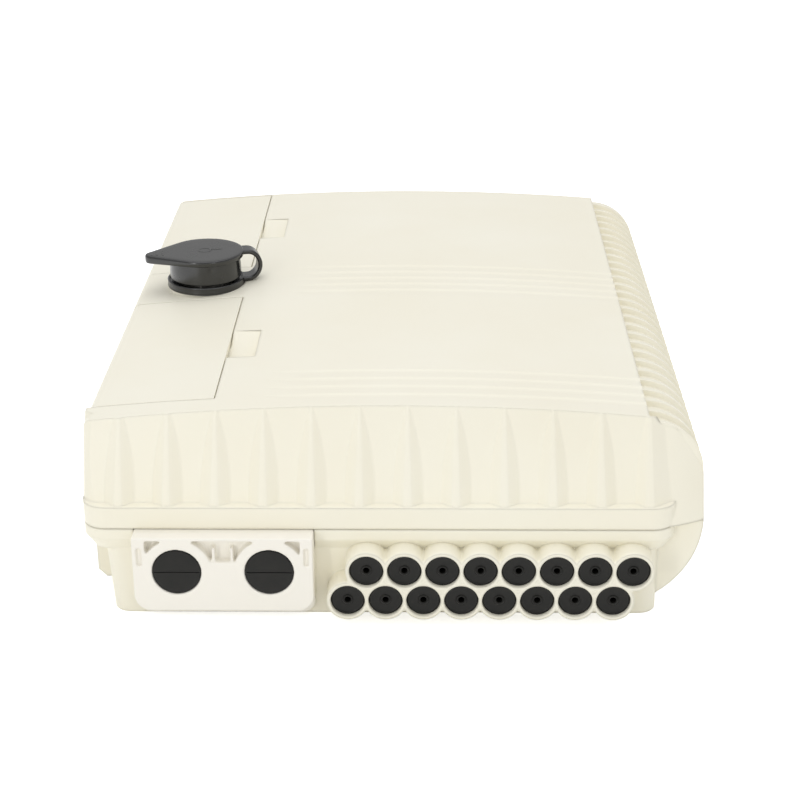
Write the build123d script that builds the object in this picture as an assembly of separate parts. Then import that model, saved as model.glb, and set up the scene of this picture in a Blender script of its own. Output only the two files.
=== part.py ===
from build123d import *
import math
import os

# Wall box that holds fibre splices and plug-in connectors. Millimetres, +Z out of the wall,
# +X towards the hinge, -Y towards the cable entries. The origin is the middle of the wall
# screw pattern, on the back face.

# Box
BOX_WIDTH = 237.0
BOX_LENGTH = 309.0
FLANK_REACH = 11.0
CORNER_R = 9.5
WALL = 2.6
JOINT_Z = 37.5
JOINT_GAP = 0.3

# Lid
SKIRT_HEIGHT = 8.8
CROWN_EDGE_Z = 77.0
CROWN_TOP_Z = 81.0
LID_EDGE_R = 5.0
FRONT_LEDGE = 4.5
FRONT_LEAN = 13.0
FRONT_HOLLOW = 1.2
BROW_R = 4.3
BROW_STEPS = 3
LEAN_CORNER_R = 7.0
REAR_LEDGE = 3.0
REAR_LEAN = 6.0
RIM_WIDTH = 10.5
RIM_HEIGHT = 4.0
TONGUE_WIDTH = 2.4
TONGUE_HEIGHT = 1.2

# Ribbed flank over the hinge
FLANK_R = 21.5
FLANK_DROP = 2.4
FLANK_RIBS = 27
FLANK_RIB_DEPTH = 2.6
FLANK_FRONT_SET = 9.0
FLANK_REAR_SET = 6.0
FLANK_CAP_LEAN = 0.44
FLANK_CAP_SWEEP = 8.2
FLANK_WALL = 5.1

# Front ribs
FRONT_RIBS = 12
FRONT_RIB_SET = 14.5
FRONT_RIB_CREST = 3.2
FRONT_RIB_TIP = 0.8
FRONT_RIB_SPREAD = 1.3
FRONT_RIB_PROUD = 3.8

# Laps across the top panel
LAP_STEP = 0.45
LAP_PITCH = 8.1
LAP_SET = 13.2
LAP_FADE = 22.0
LAP_FAR_START = 149.0
LAP_FAR_COUNT = 5
LAP_NEAR_START = 30.0
LAP_NEAR_COUNT = 4

# Base
BASE_SIDE = 7.0
BASE_RIGHT_SIDE = 6.0
BASE_FRONT_SET = 3.0
BASE_REAR_SET = 3.5
BASE_DRAFT = 2.6
BASE_FLANK_R = 38.0
FLANGE_HEIGHT = 5.8
FLANGE_EDGE = 4.4
FLANGE_FOOT = 9.7
FLANGE_SLANT = 3.5
GROOVE_INSET = 5.6
GROOVE_WIDTH = 4.0
GROOVE_DEPTH = 3.2
GASKET_WIDTH = 3.2

# Drop ports, two staggered rows
PORT_COLUMNS = 8
PORT_PITCH = 14.4
PORT_SIDE_SET = 16.7
PORT_UPPER_Z = 23.5
PORT_LOWER_Z = 11.0
PORT_OUTER_R = 7.9
PORT_BORE_R = 6.6
PORT_WEB_SET = 0.8
PORT_REACH = 8.0
PORT_RECESS = 3.6
DROP_HOLE_R = 1.25
DROP_MEMBRANE = 2.5

# Main cable entry
ENTRY_SET = 54.3
ENTRY_WIDTH = 68.4
ENTRY_PLATE = 2.8
ENTRY_FOOT_Z = 1.5
ENTRY_FIT = 0.2
MAIN_PITCH = 35.1
MAIN_Z = 23.1
MAIN_BORE_R = 9.25
MAIN_RING_R = 11.5
MAIN_BOSS_WIDTH = 8.4
MAIN_REACH = 8.0
MAIN_SLIT_WIDTH = 9.0
MAIN_SLIT = 0.4

# Latch flaps
FLAP_TOP_WIDTH = 49.3
LOCK_SPACE = 41.6
FLAP_THICK = 2.5
FLAP_GAP = 0.4
FLAP_FRONT_SET = 29.2
FLAP_REAR_SET = 10.2
FLAP_PIVOT_X = 3.6
FLAP_PIVOT_Z = 7.6
FLAP_KNUCKLE_R = 3.2
FLAP_EAR = 6.0
PILLAR_LENGTH = 5.0
PILLAR_SET = 0.8
PILLAR_FOOT = 4.3
PILLAR_SLANT = 3.3
FLAP_HOOK = 2.3
FLAP_HOOK_HEIGHT = 3.0
NOTCH_LENGTH = 30.0
NOTCH_WIDTH = 12.0
NOTCH_DEPTH = 6.4

# Hinges
HINGE_PROUD = 0.2
HINGE_KNUCKLE_R = 3.2
HINGE_PIN_R = 1.5
PIN_FIT = 0.05
HINGE_LENGTH = 60.0
HINGE_FRONT_SET = 70.0
HINGE_REAR_SET = 59.0
HINGE_OUTER = 15.0
RUNNING_GAP = 0.3

# Lock
LOCK_SET = 31.5
LOCK_BODY_R = 8.0
LOCK_HEAD_R = 11.2
LOCK_HEAD_HEIGHT = 11.0
LOCK_DEPTH = 16.0
LOCK_SEAT_RISE = 0.5
LOCK_PAD_R = 17.0
LOCK_NUT_WIDTH = 22.0
LOCK_NUT_HEIGHT = 4.0
LOCK_PLUG_R = 5.0
LOCK_KEY_SLOT = 1.6
LOCK_KEY_LENGTH = 7.0
CAM_THICK = 2.5
CAM_WIDTH = 13.0
CAM_REACH = 14.5
STRIKER_SET = 13.0
STRIKER_WIDTH = 18.0
STRIKER_LIP = 6.4
STRIKER_THICK = 3.0

# Rubber lock cap
CAP_R = 15.7
CAP_WALL = 2.4
CAP_TOP = 2.0
CAP_HEIGHT = 13.0
CAP_RING_HEIGHT = 2.8
CAP_TURN = 14.0
CAP_TAB_REACH = 28.0
CAP_TAB_R = 3.0
CAP_STRAP_REACH = 24.0
CAP_STRAP_WIDTH = 8.0
CAP_STRAP_THICK = 2.2

# Wall screws
SCREW_SIDE_SET = 33.5
SCREW_END_SET = 49.5
SCREW_HOLE_R = 2.75
SCREW_BOSS_R = 6.5
SCREW_BOSS_HEIGHT = 7.0

# Connector panel
PANEL_SET = 92.0
PANEL_SHEET = 2.0
PANEL_HEIGHT = 58.0
PANEL_FOOT = 16.0
ADAPTER_WIDTH = 9.3
ADAPTER_HEIGHT = 13.0
ADAPTER_LENGTH = 28.0
ADAPTER_FLANGE_WIDTH = 12.6
ADAPTER_FLANGE_HEIGHT = 22.0
ADAPTER_FLANGE = 2.0
ADAPTER_WALL = 1.2
ADAPTER_LOWER_Z = 16.5
ADAPTER_ROW_STEP = 25.0
ADAPTER_SIDE_SET = 71.5
ADAPTER_PLUG = 3.0

# Splice trays
TRAY_X = 0.0
TRAY_SET = 128.0
TRAY_LENGTH = 150.0
TRAY_REAR_SET = 31.0
TRAY_R = 18.0
TRAY_HEIGHT = 9.0
TRAY_WALL = 1.6
TRAY_COVER = 1.2
TRAY_LOWER_Z = 17.0
SPLICE_SLOTS = 12
SPLICE_PITCH = 3.6
SPLICE_LENGTH = 42.0
MANDREL_R = 20.0
POST_R = 4.0
POST_SHOULDER_R = 6.4
POST_INSET = 9.0
BRACKET_SHEET = 2.0

# Splitter cassette
SPLITTER_LENGTH = 80.0
SPLITTER_WIDTH = 100.0
SPLITTER_HEIGHT = 9.0

# Cable clamps
CLAMP_SET = 24.0
CLAMP_LENGTH = 12.0
CLAMP_THICK = 2.5
CLAMP_WIDTH = 34.6
CLAMP_SCREW_R = 1.8
CLAMP_HEAD_R = 3.0
SEAT_GAP = 0.2

HALF_WIDTH = BOX_WIDTH / 2
FRONT_Y = -BOX_LENGTH / 2
REAR_Y = BOX_LENGTH / 2
BOX_RIGHT_X = HALF_WIDTH - FLANK_REACH
BOX_MID_X = (BOX_RIGHT_X - HALF_WIDTH) / 2
SKIRT_TOP = JOINT_Z + SKIRT_HEIGHT
HINGE_X = HALF_WIDTH + HINGE_PROUD
HINGE_SPACING = BOX_LENGTH - HINGE_FRONT_SET - HINGE_REAR_SET - HINGE_LENGTH
LOCK_X = LOCK_SET - HALF_WIDTH
ENTRY_X = ENTRY_SET - HALF_WIDTH
PORT_ROW_X = BOX_RIGHT_X - PORT_SIDE_SET - (PORT_COLUMNS - 1) / 2 * PORT_PITCH
SCREW_SPACING_X = BOX_WIDTH - 2 * SCREW_SIDE_SET
SCREW_SPACING_Y = BOX_LENGTH - 2 * SCREW_END_SET
ADAPTER_ROW_X = BOX_RIGHT_X - ADAPTER_SIDE_SET
TRAY_WIDTH = BOX_LENGTH - TRAY_SET - TRAY_REAR_SET
FLAP_LENGTH = (BOX_LENGTH - FLAP_FRONT_SET - FLAP_REAR_SET - LOCK_SPACE) / 2
BASE_TOP = JOINT_Z - JOINT_GAP
PANEL_EDGE_X = HALF_WIDTH - FLANK_R
FRONT_RIB_PITCH = (PANEL_EDGE_X + HALF_WIDTH - FRONT_RIB_SET) / (FRONT_RIBS - 1)
FLANK_CENTRE_Z = CROWN_EDGE_Z - FLANK_DROP - FLANK_R
CROWN_R = (PANEL_EDGE_X ** 2 + (CROWN_TOP_Z - CROWN_EDGE_Z) ** 2) / (2 * (CROWN_TOP_Z - CROWN_EDGE_Z))
FLAP_LEFT = -HALF_WIDTH
FLAP_RIGHT = FLAP_LEFT + FLAP_TOP_WIDTH
LAP_LEFT_X = FLAP_RIGHT + LAP_SET
FLAP_STARTS = (FRONT_Y + FLAP_FRONT_SET, REAR_Y - FLAP_REAR_SET - FLAP_LENGTH)
LOCK_Y = (FLAP_STARTS[0] + FLAP_LENGTH + FLAP_STARTS[1]) / 2
PIVOT_X = FLAP_LEFT + FLAP_PIVOT_X
HINGE_Z = JOINT_Z - JOINT_GAP / 2
HINGE_STARTS = (FRONT_Y + HINGE_FRONT_SET, FRONT_Y + HINGE_FRONT_SET + HINGE_SPACING)
PORT_BACK_Y = FRONT_Y + BASE_FRONT_SET + WALL
TOP_Z = CROWN_TOP_Z + 8 * WALL
STANDING = (Align.CENTER, Align.CENTER, Align.MIN)
TRAY_STEP = TRAY_HEIGHT + TRAY_COVER + 2 * SEAT_GAP


def crown_z(x):
    """Height of the crowned top panel at x."""
    return CROWN_TOP_Z - CROWN_R + math.sqrt(CROWN_R ** 2 - x ** 2)


def section(curve):
    """A face in the XZ plane from a closed curve drawn in X and Z."""
    return Plane.XZ * make_face(curve)


def along_y(face, start, end, lift=0.0):
    """Sweep an XZ face from start to end along Y, rising by lift on the way."""
    run = Vector(0, end - start, lift)
    return extrude(Pos(0, start, 0) * face, amount=run.length, dir=run.normalized())


def box_between(x0, x1, y0, y1, z0, z1):
    """A block given by its limits on the three axes."""
    return Pos((x0 + x1) / 2, (y0 + y1) / 2, (z0 + z1) / 2) * Box(x1 - x0, y1 - y0, z1 - z0)


def rod(x, z, radius, start, end):
    """A round bar along Y."""
    bar = Cylinder(radius, end - start, align=STANDING)
    return Pos(x, start, z) * Rot(-90, 0, 0) * bar


def post(x, y, radius, z0, z1):
    """A round bar along Z."""
    return Pos(x, y, z0) * Cylinder(radius, z1 - z0, align=STANDING)


def plan(inset, z0, z1):
    """The box's rounded plan outline without the flank, moved inwards by inset."""
    outline = RectangleRounded(
        BOX_WIDTH - FLANK_REACH - 2 * inset,
        BOX_LENGTH - 2 * inset,
        max(CORNER_R - inset, WALL),
    )
    return extrude(Pos(BOX_MID_X, 0, z0) * outline, z1 - z0)


def crown_section(inset, left, right, floor, edge_r=0.0):
    """The space under the crowned top, between two x values, down to floor."""
    left_z = crown_z(left) - inset
    right_z = crown_z(right) - inset
    mid_x = (left + right) / 2
    face = make_face(
        Line((left, floor), (left, left_z))
        + ThreePointArc((left, left_z), (mid_x, crown_z(mid_x) - inset), (right, right_z))
        + Line((right, right_z), (right, floor))
        + Line((right, floor), (left, floor))
    )
    if edge_r > 0:
        corner = face.vertices().sort_by_distance((left, left_z))[0]
        face = fillet(corner, edge_r)
    return Plane.XZ * face


def above_crown(depth, left, right):
    """The space above the crowned top lowered by depth, between two x values."""
    left_z = crown_z(left) - depth
    right_z = crown_z(right) - depth
    mid_x = (left + right) / 2
    return section(
        Line((left, TOP_Z), (left, left_z))
        + ThreePointArc((left, left_z), (mid_x, crown_z(mid_x) - depth), (right, right_z))
        + Line((right, right_z), (right, TOP_Z))
        + Line((right, TOP_Z), (left, TOP_Z))
    )


def flank_section(inset, left, floor):
    """The quarter-round flank beside the top panel, from x = left outwards."""
    radius = FLANK_R - inset
    outer_x = PANEL_EDGE_X + radius
    top_z = FLANK_CENTRE_Z + radius
    slant = radius * math.sqrt(0.5)
    return section(
        Line((left, floor), (left, top_z))
        + Line((left, top_z), (PANEL_EDGE_X, top_z))
        + ThreePointArc(
            (PANEL_EDGE_X, top_z),
            (PANEL_EDGE_X + slant, FLANK_CENTRE_Z + slant),
            (outer_x, FLANK_CENTRE_Z),
        )
        + Line((outer_x, FLANK_CENTRE_Z), (outer_x, floor))
        + Line((outer_x, floor), (left, floor))
    )


def end_face(inset, ledge, lean, hollow):
    """Profile, in distance from the end and height, of what the leaning end face leaves free."""
    foot = ledge + inset
    head = foot + lean
    head_z = CROWN_TOP_Z
    foot_z = SKIRT_TOP - inset
    middle = ((foot + head) / 2 + hollow, (foot_z + head_z) / 2)
    outside = -WALL
    rise = Line((foot, foot_z), (head, head_z))
    if hollow > 0:
        rise = ThreePointArc((foot, foot_z), middle, (head, head_z))
    return (
        Line((outside, foot_z), (foot, foot_z))
        + rise
        + Line((head, head_z), (head, TOP_Z))
        + Line((head, TOP_Z), (outside, TOP_Z))
        + Line((outside, TOP_Z), (outside, foot_z))
    )


def end_cutter(inset, front):
    """The solid in front of the leaning front face, or behind the rear one."""
    if front:
        profile = end_face(inset, FRONT_LEDGE, FRONT_LEAN, FRONT_HOLLOW)
        frame = Plane(origin=(-HALF_WIDTH - WALL, FRONT_Y, 0), x_dir=(0, 1, 0), z_dir=(1, 0, 0))
        return extrude(frame * make_face(profile), BOX_WIDTH + 2 * WALL)
    profile = end_face(inset, REAR_LEDGE, REAR_LEAN, 0)
    frame = Plane(origin=(HALF_WIDTH + WALL, REAR_Y, 0), x_dir=(0, -1, 0), z_dir=(-1, 0, 0))
    return extrude(frame * make_face(profile), BOX_WIDTH + 2 * WALL)


def lean_corner(inset):
    """The prism outside the lid's rounded front left corner, leaning with the front face."""
    radius = LEAN_CORNER_R - inset
    corner_x = -HALF_WIDTH + inset
    corner_y = FRONT_Y + FRONT_LEDGE + inset
    outline = Pos(corner_x + radius / 2 - WALL / 2, corner_y + radius / 2 - WALL / 2) * Rectangle(
        radius + WALL, radius + WALL
    )
    outline -= Pos(corner_x + radius, corner_y + radius) * Circle(radius)
    run = Vector(0, FRONT_LEAN, CROWN_TOP_Z - SKIRT_TOP)
    return extrude(Pos(0, 0, SKIRT_TOP - inset) * outline, amount=2 * run.length, dir=run.normalized())


def panel_body(inset):
    """The lid's main volume under the crown, between the leaning end faces."""
    left = -HALF_WIDTH + inset
    right = PANEL_EDGE_X - inset
    body = along_y(crown_section(inset, left, right, JOINT_Z, LID_EDGE_R - inset), FRONT_Y, REAR_Y)
    body -= end_cutter(inset, True)
    body -= end_cutter(inset, False)
    body -= lean_corner(inset)
    body = body & plan(inset, JOINT_Z, TOP_Z)
    return body


def flank_body(inset):
    """The flank's volume between its leaning end caps."""
    body = along_y(flank_section(inset, PANEL_EDGE_X - FLANK_R, JOINT_Z), FRONT_Y, REAR_Y)
    last = FLANK_REAR_SET + inset
    rear = Polyline((-WALL, JOINT_Z), (last, JOINT_Z), (last + WALL, TOP_Z), (-WALL, TOP_Z), close=True)
    rear_frame = Plane(origin=(HALF_WIDTH + WALL, REAR_Y, 0), x_dir=(0, -1, 0), z_dir=(-1, 0, 0))
    body -= extrude(rear_frame * make_face(rear), HALF_WIDTH + WALL)
    return body - flank_front_cutter(inset)


def flank_front_cutter(inset):
    """The space before the flank's domed front cap, which starts level with the front face."""
    left = PANEL_EDGE_X - 2 * FLANK_R
    right = HALF_WIDTH + WALL
    back = FRONT_Y + FLANK_FRONT_SET + inset
    fore = back - FLANK_CAP_SWEEP
    middle = (PANEL_EDGE_X + FLANK_R / 2, fore + FLANK_CAP_SWEEP / 3)
    outside = fore - TOP_Z
    outline = (
        Line((left, outside), (left, fore))
        + Line((left, fore), (PANEL_EDGE_X, fore))
        + ThreePointArc((PANEL_EDGE_X, fore), middle, (HALF_WIDTH, back))
        + Line((HALF_WIDTH, back), (right, back + WALL))
        + Line((right, back + WALL), (right, outside))
        + Line((right, outside), (left, outside))
    )
    run = Vector(0, FLANK_CAP_LEAN, 1) * (TOP_Z - JOINT_Z)
    return extrude(Pos(0, 0, JOINT_Z) * make_face(outline), amount=run.length, dir=run.normalized())


def flank_ribs():
    """Cutters that leave lapped ribs along the flank, deepest beside the panel."""
    outer_x = PANEL_EDGE_X + FLANK_R
    top_z = FLANK_CENTRE_Z + FLANK_R
    cap_y = FRONT_Y + FLANK_FRONT_SET - FLANK_CAP_SWEEP
    start = cap_y + FLANK_CAP_LEAN * (top_z - JOINT_Z)
    end = REAR_Y - 2 * FLANK_REAR_SET
    pitch = (end - start) / FLANK_RIBS
    slant = FLANK_R * math.sqrt(0.5)
    scoop = section(
        Line((PANEL_EDGE_X, TOP_Z), (PANEL_EDGE_X, top_z))
        + ThreePointArc(
            (PANEL_EDGE_X, top_z),
            (PANEL_EDGE_X + slant, FLANK_CENTRE_Z + slant),
            (outer_x, FLANK_CENTRE_Z),
        )
        + Line((outer_x, FLANK_CENTRE_Z), (outer_x, TOP_Z))
        + Line((outer_x, TOP_Z), (PANEL_EDGE_X, TOP_Z))
    )
    cutters = []
    for index in range(FLANK_RIBS):
        riser = start + (index + 1) * pitch
        low = Pos(0, 0, -FLANK_RIB_DEPTH) * scoop
        cutters.append(along_y(low, riser, riser - pitch, FLANK_RIB_DEPTH))
    return cutters


def lap_strip():
    """The space above a lap, which runs out towards its left end."""
    full_x = LAP_LEFT_X + LAP_FADE
    mid_x = (full_x + PANEL_EDGE_X) / 2
    start = (LAP_LEFT_X, crown_z(LAP_LEFT_X) + RUNNING_GAP / 2)
    full = (full_x, crown_z(full_x) - LAP_STEP)
    end = (PANEL_EDGE_X, crown_z(PANEL_EDGE_X) - LAP_STEP)
    return section(
        Line((LAP_LEFT_X, TOP_Z), start)
        + Line(start, full)
        + ThreePointArc(full, (mid_x, crown_z(mid_x) - LAP_STEP), end)
        + Line(end, (PANEL_EDGE_X, TOP_Z))
        + Line((PANEL_EDGE_X, TOP_Z), (LAP_LEFT_X, TOP_Z))
    )


def brow_cutters():
    """Cutters that round the top panel's front edge, each steeper than the last."""
    turn = math.pi / 2 - math.atan(FRONT_LEAN / (CROWN_TOP_Z - SKIRT_TOP))
    tangent = BROW_R * math.tan(turn / 2)
    edge_y = FRONT_Y + FRONT_LEDGE + FRONT_LEAN
    cutters = []
    for step in range(BROW_STEPS):
        angle = turn * (step + 1) / (BROW_STEPS + 1)
        sag = BROW_R * (1 - math.cos(angle))
        reach = tangent - BROW_R * math.sin(angle) + sag / math.tan(angle)
        start = edge_y - tangent
        depth = (reach + tangent) * math.tan(angle)
        strip = above_crown(depth, -HALF_WIDTH - WALL, PANEL_EDGE_X + WALL)
        cutters.append(along_y(strip, start, edge_y + reach, depth))
    return cutters


def panel_laps():
    """Cutters that leave two groups of shallow laps across the top panel."""
    strip = lap_strip()
    cutters = []
    for first, count in ((LAP_FAR_START, LAP_FAR_COUNT), (LAP_NEAR_START, LAP_NEAR_COUNT)):
        for index in range(count):
            riser = FRONT_Y + first + index * LAP_PITCH
            cutters.append(along_y(strip, riser, riser - LAP_PITCH, LAP_STEP))
    return cutters


def front_rib(x):
    """One gabled rib on the hollow front face, wide at its foot and running out at the top."""
    depth = FRONT_LEAN + WALL
    shapes = []
    for height, crest_y, width in (
        (SKIRT_TOP - WALL / 2, FRONT_LEDGE - FRONT_RIB_PROUD, FRONT_RIB_CREST),
        (CROWN_TOP_Z, FRONT_LEDGE + FRONT_LEAN, FRONT_RIB_TIP),
    ):
        crest = FRONT_Y + crest_y
        half = width / 2
        spread = half + depth * FRONT_RIB_SPREAD
        back = crest + depth
        outline = Polyline((-half, crest), (half, crest), (spread, back), (-spread, back), close=True)
        shapes.append(Pos(x, 0, height) * make_face(outline))
    return loft(shapes)


def flap_pocket(start, inset):
    """The space a latch flap takes out of the lid's top and left side, grown by inset."""
    depth = FLAP_THICK + FLAP_GAP + inset
    right = FLAP_RIGHT + FLAP_GAP + inset
    low_y = start - FLAP_GAP - inset
    high_y = start + FLAP_LENGTH + FLAP_GAP + inset
    core = crown_section(depth, FLAP_LEFT + depth, right + WALL, -WALL, max(LID_EDGE_R - depth, 0))
    space = box_between(FLAP_LEFT - WALL, right, low_y, high_y, 0, TOP_Z)
    return space - along_y(core, low_y - WALL, high_y + WALL)


def hook_recess(start, inset):
    """The step above the lid's skirt that a flap's hook bears on."""
    side_x = FLAP_LEFT + FLAP_THICK + 2 * FLAP_GAP + FLAP_HOOK + inset
    low_y = start - FLAP_GAP - inset
    high_y = start + FLAP_LENGTH + FLAP_GAP + inset
    high_z = SKIRT_TOP + FLAP_HOOK_HEIGHT + 4 * FLAP_GAP + inset
    return box_between(FLAP_LEFT - WALL, side_x, low_y, high_y, SKIRT_TOP - inset, high_z)


def finger_notch(start):
    """The scooped pocket beside a flap that lets a finger under its edge."""
    middle = start + FLAP_LENGTH / 2
    near = middle - NOTCH_LENGTH / 2
    far = middle + NOTCH_LENGTH / 2
    top = crown_z(FLAP_RIGHT) + WALL
    floor = crown_z(FLAP_RIGHT) - NOTCH_DEPTH
    profile = Polyline((near, floor), (far, top - WALL), (far, top), (near, top), close=True)
    frame = Plane(origin=(FLAP_RIGHT - WALL, 0, 0), x_dir=(0, 1, 0), z_dir=(1, 0, 0))
    return extrude(frame * make_face(profile), NOTCH_WIDTH + WALL)


def notch_wall(start):
    """The lid wall that closes a finger notch on its inner side."""
    middle = start + FLAP_LENGTH / 2
    half = NOTCH_LENGTH / 2 + WALL
    floor = crown_z(FLAP_RIGHT) - NOTCH_DEPTH - WALL
    return box_between(
        FLAP_RIGHT - WALL * 2, FLAP_RIGHT + NOTCH_WIDTH + WALL, middle - half, middle + half, floor, TOP_Z
    )


def lock_seat_z():
    """Height of the flat round seat that the lock's head stands on."""
    return crown_z(LOCK_X) + LOCK_SEAT_RISE


def lock_seat_pad():
    """The flat pad that the lock goes through, from the nut's face to the seat."""
    return post(LOCK_X, LOCK_Y, LOCK_PAD_R, lock_seat_z() - 2 * WALL, lock_seat_z())


def hinge_spans(owner):
    """The Y spans of the knuckles that belong to the base or to the lid."""
    spans = []
    for start in HINGE_STARTS:
        end = start + HINGE_LENGTH
        if owner == "base":
            spans.append((start, start + HINGE_OUTER))
            spans.append((end - HINGE_OUTER, end))
        else:
            spans.append((start + HINGE_OUTER + RUNNING_GAP, end - HINGE_OUTER - RUNNING_GAP))
    return spans


def add_knuckles(shell, owner, other):
    """Give a shell its own knuckles and clear the other shell's, then bore for the pins."""
    clear_r = HINGE_KNUCKLE_R + RUNNING_GAP
    for start, end in hinge_spans(other):
        shell -= rod(HINGE_X, HINGE_Z, clear_r, start - RUNNING_GAP, end + RUNNING_GAP)
    for start, end in hinge_spans(owner):
        shell += rod(HINGE_X, HINGE_Z, HINGE_KNUCKLE_R, start, end)
    for start in HINGE_STARTS:
        end = start + HINGE_LENGTH
        shell -= rod(HINGE_X, HINGE_Z, HINGE_PIN_R + PIN_FIT, start - RUNNING_GAP, end + RUNNING_GAP)
    return shell


def rim_band(outer_inset, inner_inset, z0, z1):
    """A band that follows the box's plan between two insets."""
    return plan(outer_inset, z0, z1) - plan(inner_inset, z0 - WALL, z1 + WALL)


def lid_shell():
    """The moulded lid: skirt, crowned top, ribbed flank, ribbed front, pockets and rim."""
    panel = panel_body(0)
    ribs = [
        front_rib(FRONT_RIB_SET - HALF_WIDTH + index * FRONT_RIB_PITCH)
        for index in range(FRONT_RIBS)
    ]
    limit = along_y(crown_section(0, -HALF_WIDTH, BOX_RIGHT_X, SKIRT_TOP - WALL), FRONT_Y, 0)
    shell = panel + plan(0, JOINT_Z, SKIRT_TOP) + flank_body(0)
    shell += [rib & limit for rib in ribs]
    shell -= flank_ribs()
    shell -= panel_laps()
    shell -= brow_cutters()
    hollow = panel_body(WALL) + flank_body(FLANK_WALL)
    for start in FLAP_STARTS:
        hollow -= flap_pocket(start, WALL)
        hollow -= hook_recess(start, WALL)
        hollow -= notch_wall(start)
    hollow -= lock_seat_pad()
    hollow -= box_between(-BOX_WIDTH, BOX_WIDTH, FRONT_Y, REAR_Y, 0, JOINT_Z + RIM_HEIGHT)
    shell -= hollow
    shell -= plan(RIM_WIDTH, JOINT_Z - WALL, JOINT_Z + RIM_HEIGHT + WALL)
    tongue_inset = GROOVE_INSET + (GROOVE_WIDTH - TONGUE_WIDTH) / 2
    shell += rim_band(tongue_inset, tongue_inset + TONGUE_WIDTH, JOINT_Z - TONGUE_HEIGHT, JOINT_Z)
    for start in FLAP_STARTS:
        shell -= flap_pocket(start, 0)
        shell -= hook_recess(start, 0)
        shell -= finger_notch(start)
    shell += lock_seat_pad()
    shell -= post(LOCK_X, LOCK_Y, LOCK_PAD_R, lock_seat_z(), TOP_Z)
    shell -= post(LOCK_X, LOCK_Y, LOCK_BODY_R + SEAT_GAP, JOINT_Z, TOP_Z)
    return add_knuckles(shell, "lid", "base")


def tray_form(inset):
    """The base's drafted tub below its rim."""
    shapes = []
    for height, draft in ((inset, BASE_DRAFT), (BASE_TOP, 0)):
        left_x = -HALF_WIDTH + BASE_SIDE + draft + inset
        right_x = BOX_RIGHT_X - BASE_RIGHT_SIDE - inset
        front_y = FRONT_Y + BASE_FRONT_SET + inset
        rear_y = REAR_Y - BASE_REAR_SET - draft - inset
        outline = RectangleRounded(right_x - left_x, rear_y - front_y, max(BASE_SIDE - inset, WALL))
        shapes.append(Pos((left_x + right_x) / 2, (front_y + rear_y) / 2, height) * outline)
    return loft(shapes)


def base_flank(inset):
    """The base's curved flank under the hinge, between its end caps."""
    radius = BASE_FLANK_R - inset
    outer_x = HALF_WIDTH - inset
    centre_x = HALF_WIDTH - BASE_FLANK_R
    low_z = inset
    low_x = centre_x + math.sqrt(radius ** 2 - (JOINT_Z - low_z) ** 2)
    middle = math.asin((JOINT_Z - low_z) / radius) / 2
    face = section(
        Line((centre_x, low_z), (low_x, low_z))
        + ThreePointArc(
            (low_x, low_z),
            (centre_x + radius * math.cos(middle), JOINT_Z - radius * math.sin(middle)),
            (outer_x, JOINT_Z),
        )
        + Line((outer_x, JOINT_Z), (centre_x, JOINT_Z))
        + Line((centre_x, JOINT_Z), (centre_x, low_z))
    )
    body = along_y(face, FRONT_Y + FLANK_FRONT_SET + inset, REAR_Y - FLANK_REAR_SET - inset)
    return body & box_between(centre_x, BOX_WIDTH, FRONT_Y, REAR_Y, 0, BASE_TOP)


def flange():
    """The rim's outer band, with an underside that slants in to the tub."""
    length = BOX_LENGTH - 2 * FLANGE_SLANT
    width = BOX_WIDTH - FLANK_REACH - 2 * FLANGE_SLANT
    foot = RectangleRounded(width, length, CORNER_R - FLANGE_SLANT)
    knee = RectangleRounded(BOX_WIDTH - FLANK_REACH, BOX_LENGTH, CORNER_R)
    foot = Pos(BOX_MID_X, 0, BASE_TOP - FLANGE_FOOT) * foot
    knee = Pos(BOX_MID_X, 0, BASE_TOP - FLANGE_EDGE) * knee
    return loft([foot, knee]) + plan(0, BASE_TOP - FLANGE_EDGE, BASE_TOP)


def port_places():
    """X and Z of each drop port, upper row first."""
    places = []
    for z, shift in ((PORT_UPPER_Z, 0.0), (PORT_LOWER_Z, -PORT_PITCH / 2)):
        for column in range(PORT_COLUMNS):
            places.append((PORT_ROW_X + shift + (column - (PORT_COLUMNS - 1) / 2) * PORT_PITCH, z))
    return places


def port_row_block(radius, start, end):
    """All the drop ports as round bars of one radius along Y."""
    circles = Sketch() + [Pos(x, z) * Circle(radius) for x, z in port_places()]
    return along_y(Plane.XZ * circles, start, end)


def port_web():
    """The solid web that fills the gaps between the two rows of ports."""
    places = port_places()
    upper = places[:PORT_COLUMNS]
    lower = places[PORT_COLUMNS:]
    outline = Polyline(lower[0], lower[-1], upper[-1], upper[0], close=True)
    start = FRONT_Y - PORT_REACH + PORT_WEB_SET
    return along_y(section(outline), start, FRONT_Y + BASE_FRONT_SET + WALL / 2)


def entry_window(gap):
    """The part of the rim that the entry clamp fills, grown by gap."""
    left = ENTRY_X - ENTRY_WIDTH / 2 - gap
    right = ENTRY_X + ENTRY_WIDTH / 2 + gap
    low = BASE_TOP - FLANGE_HEIGHT - gap
    return box_between(left, right, FRONT_Y - WALL, FRONT_Y + RIM_WIDTH + gap, low, BASE_TOP)


def entry_plate(gap):
    """The flat of the entry clamp in front of the base's wall, grown by gap."""
    left = ENTRY_X - ENTRY_WIDTH / 2 - gap
    right = ENTRY_X + ENTRY_WIDTH / 2 + gap
    plate = box_between(left, right, FRONT_Y, FRONT_Y + ENTRY_PLATE + gap, ENTRY_FOOT_Z - gap, BASE_TOP)
    low_corners = plate.edges().filter_by(Axis.Y).group_by(Axis.Z)[0]
    return fillet(low_corners, 2 * WALL)


def wall_screw_places():
    """X and Y of the four wall screw holes."""
    return [(x * SCREW_SPACING_X / 2, y * SCREW_SPACING_Y / 2) for x in (-1, 1) for y in (-1, 1)]


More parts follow.
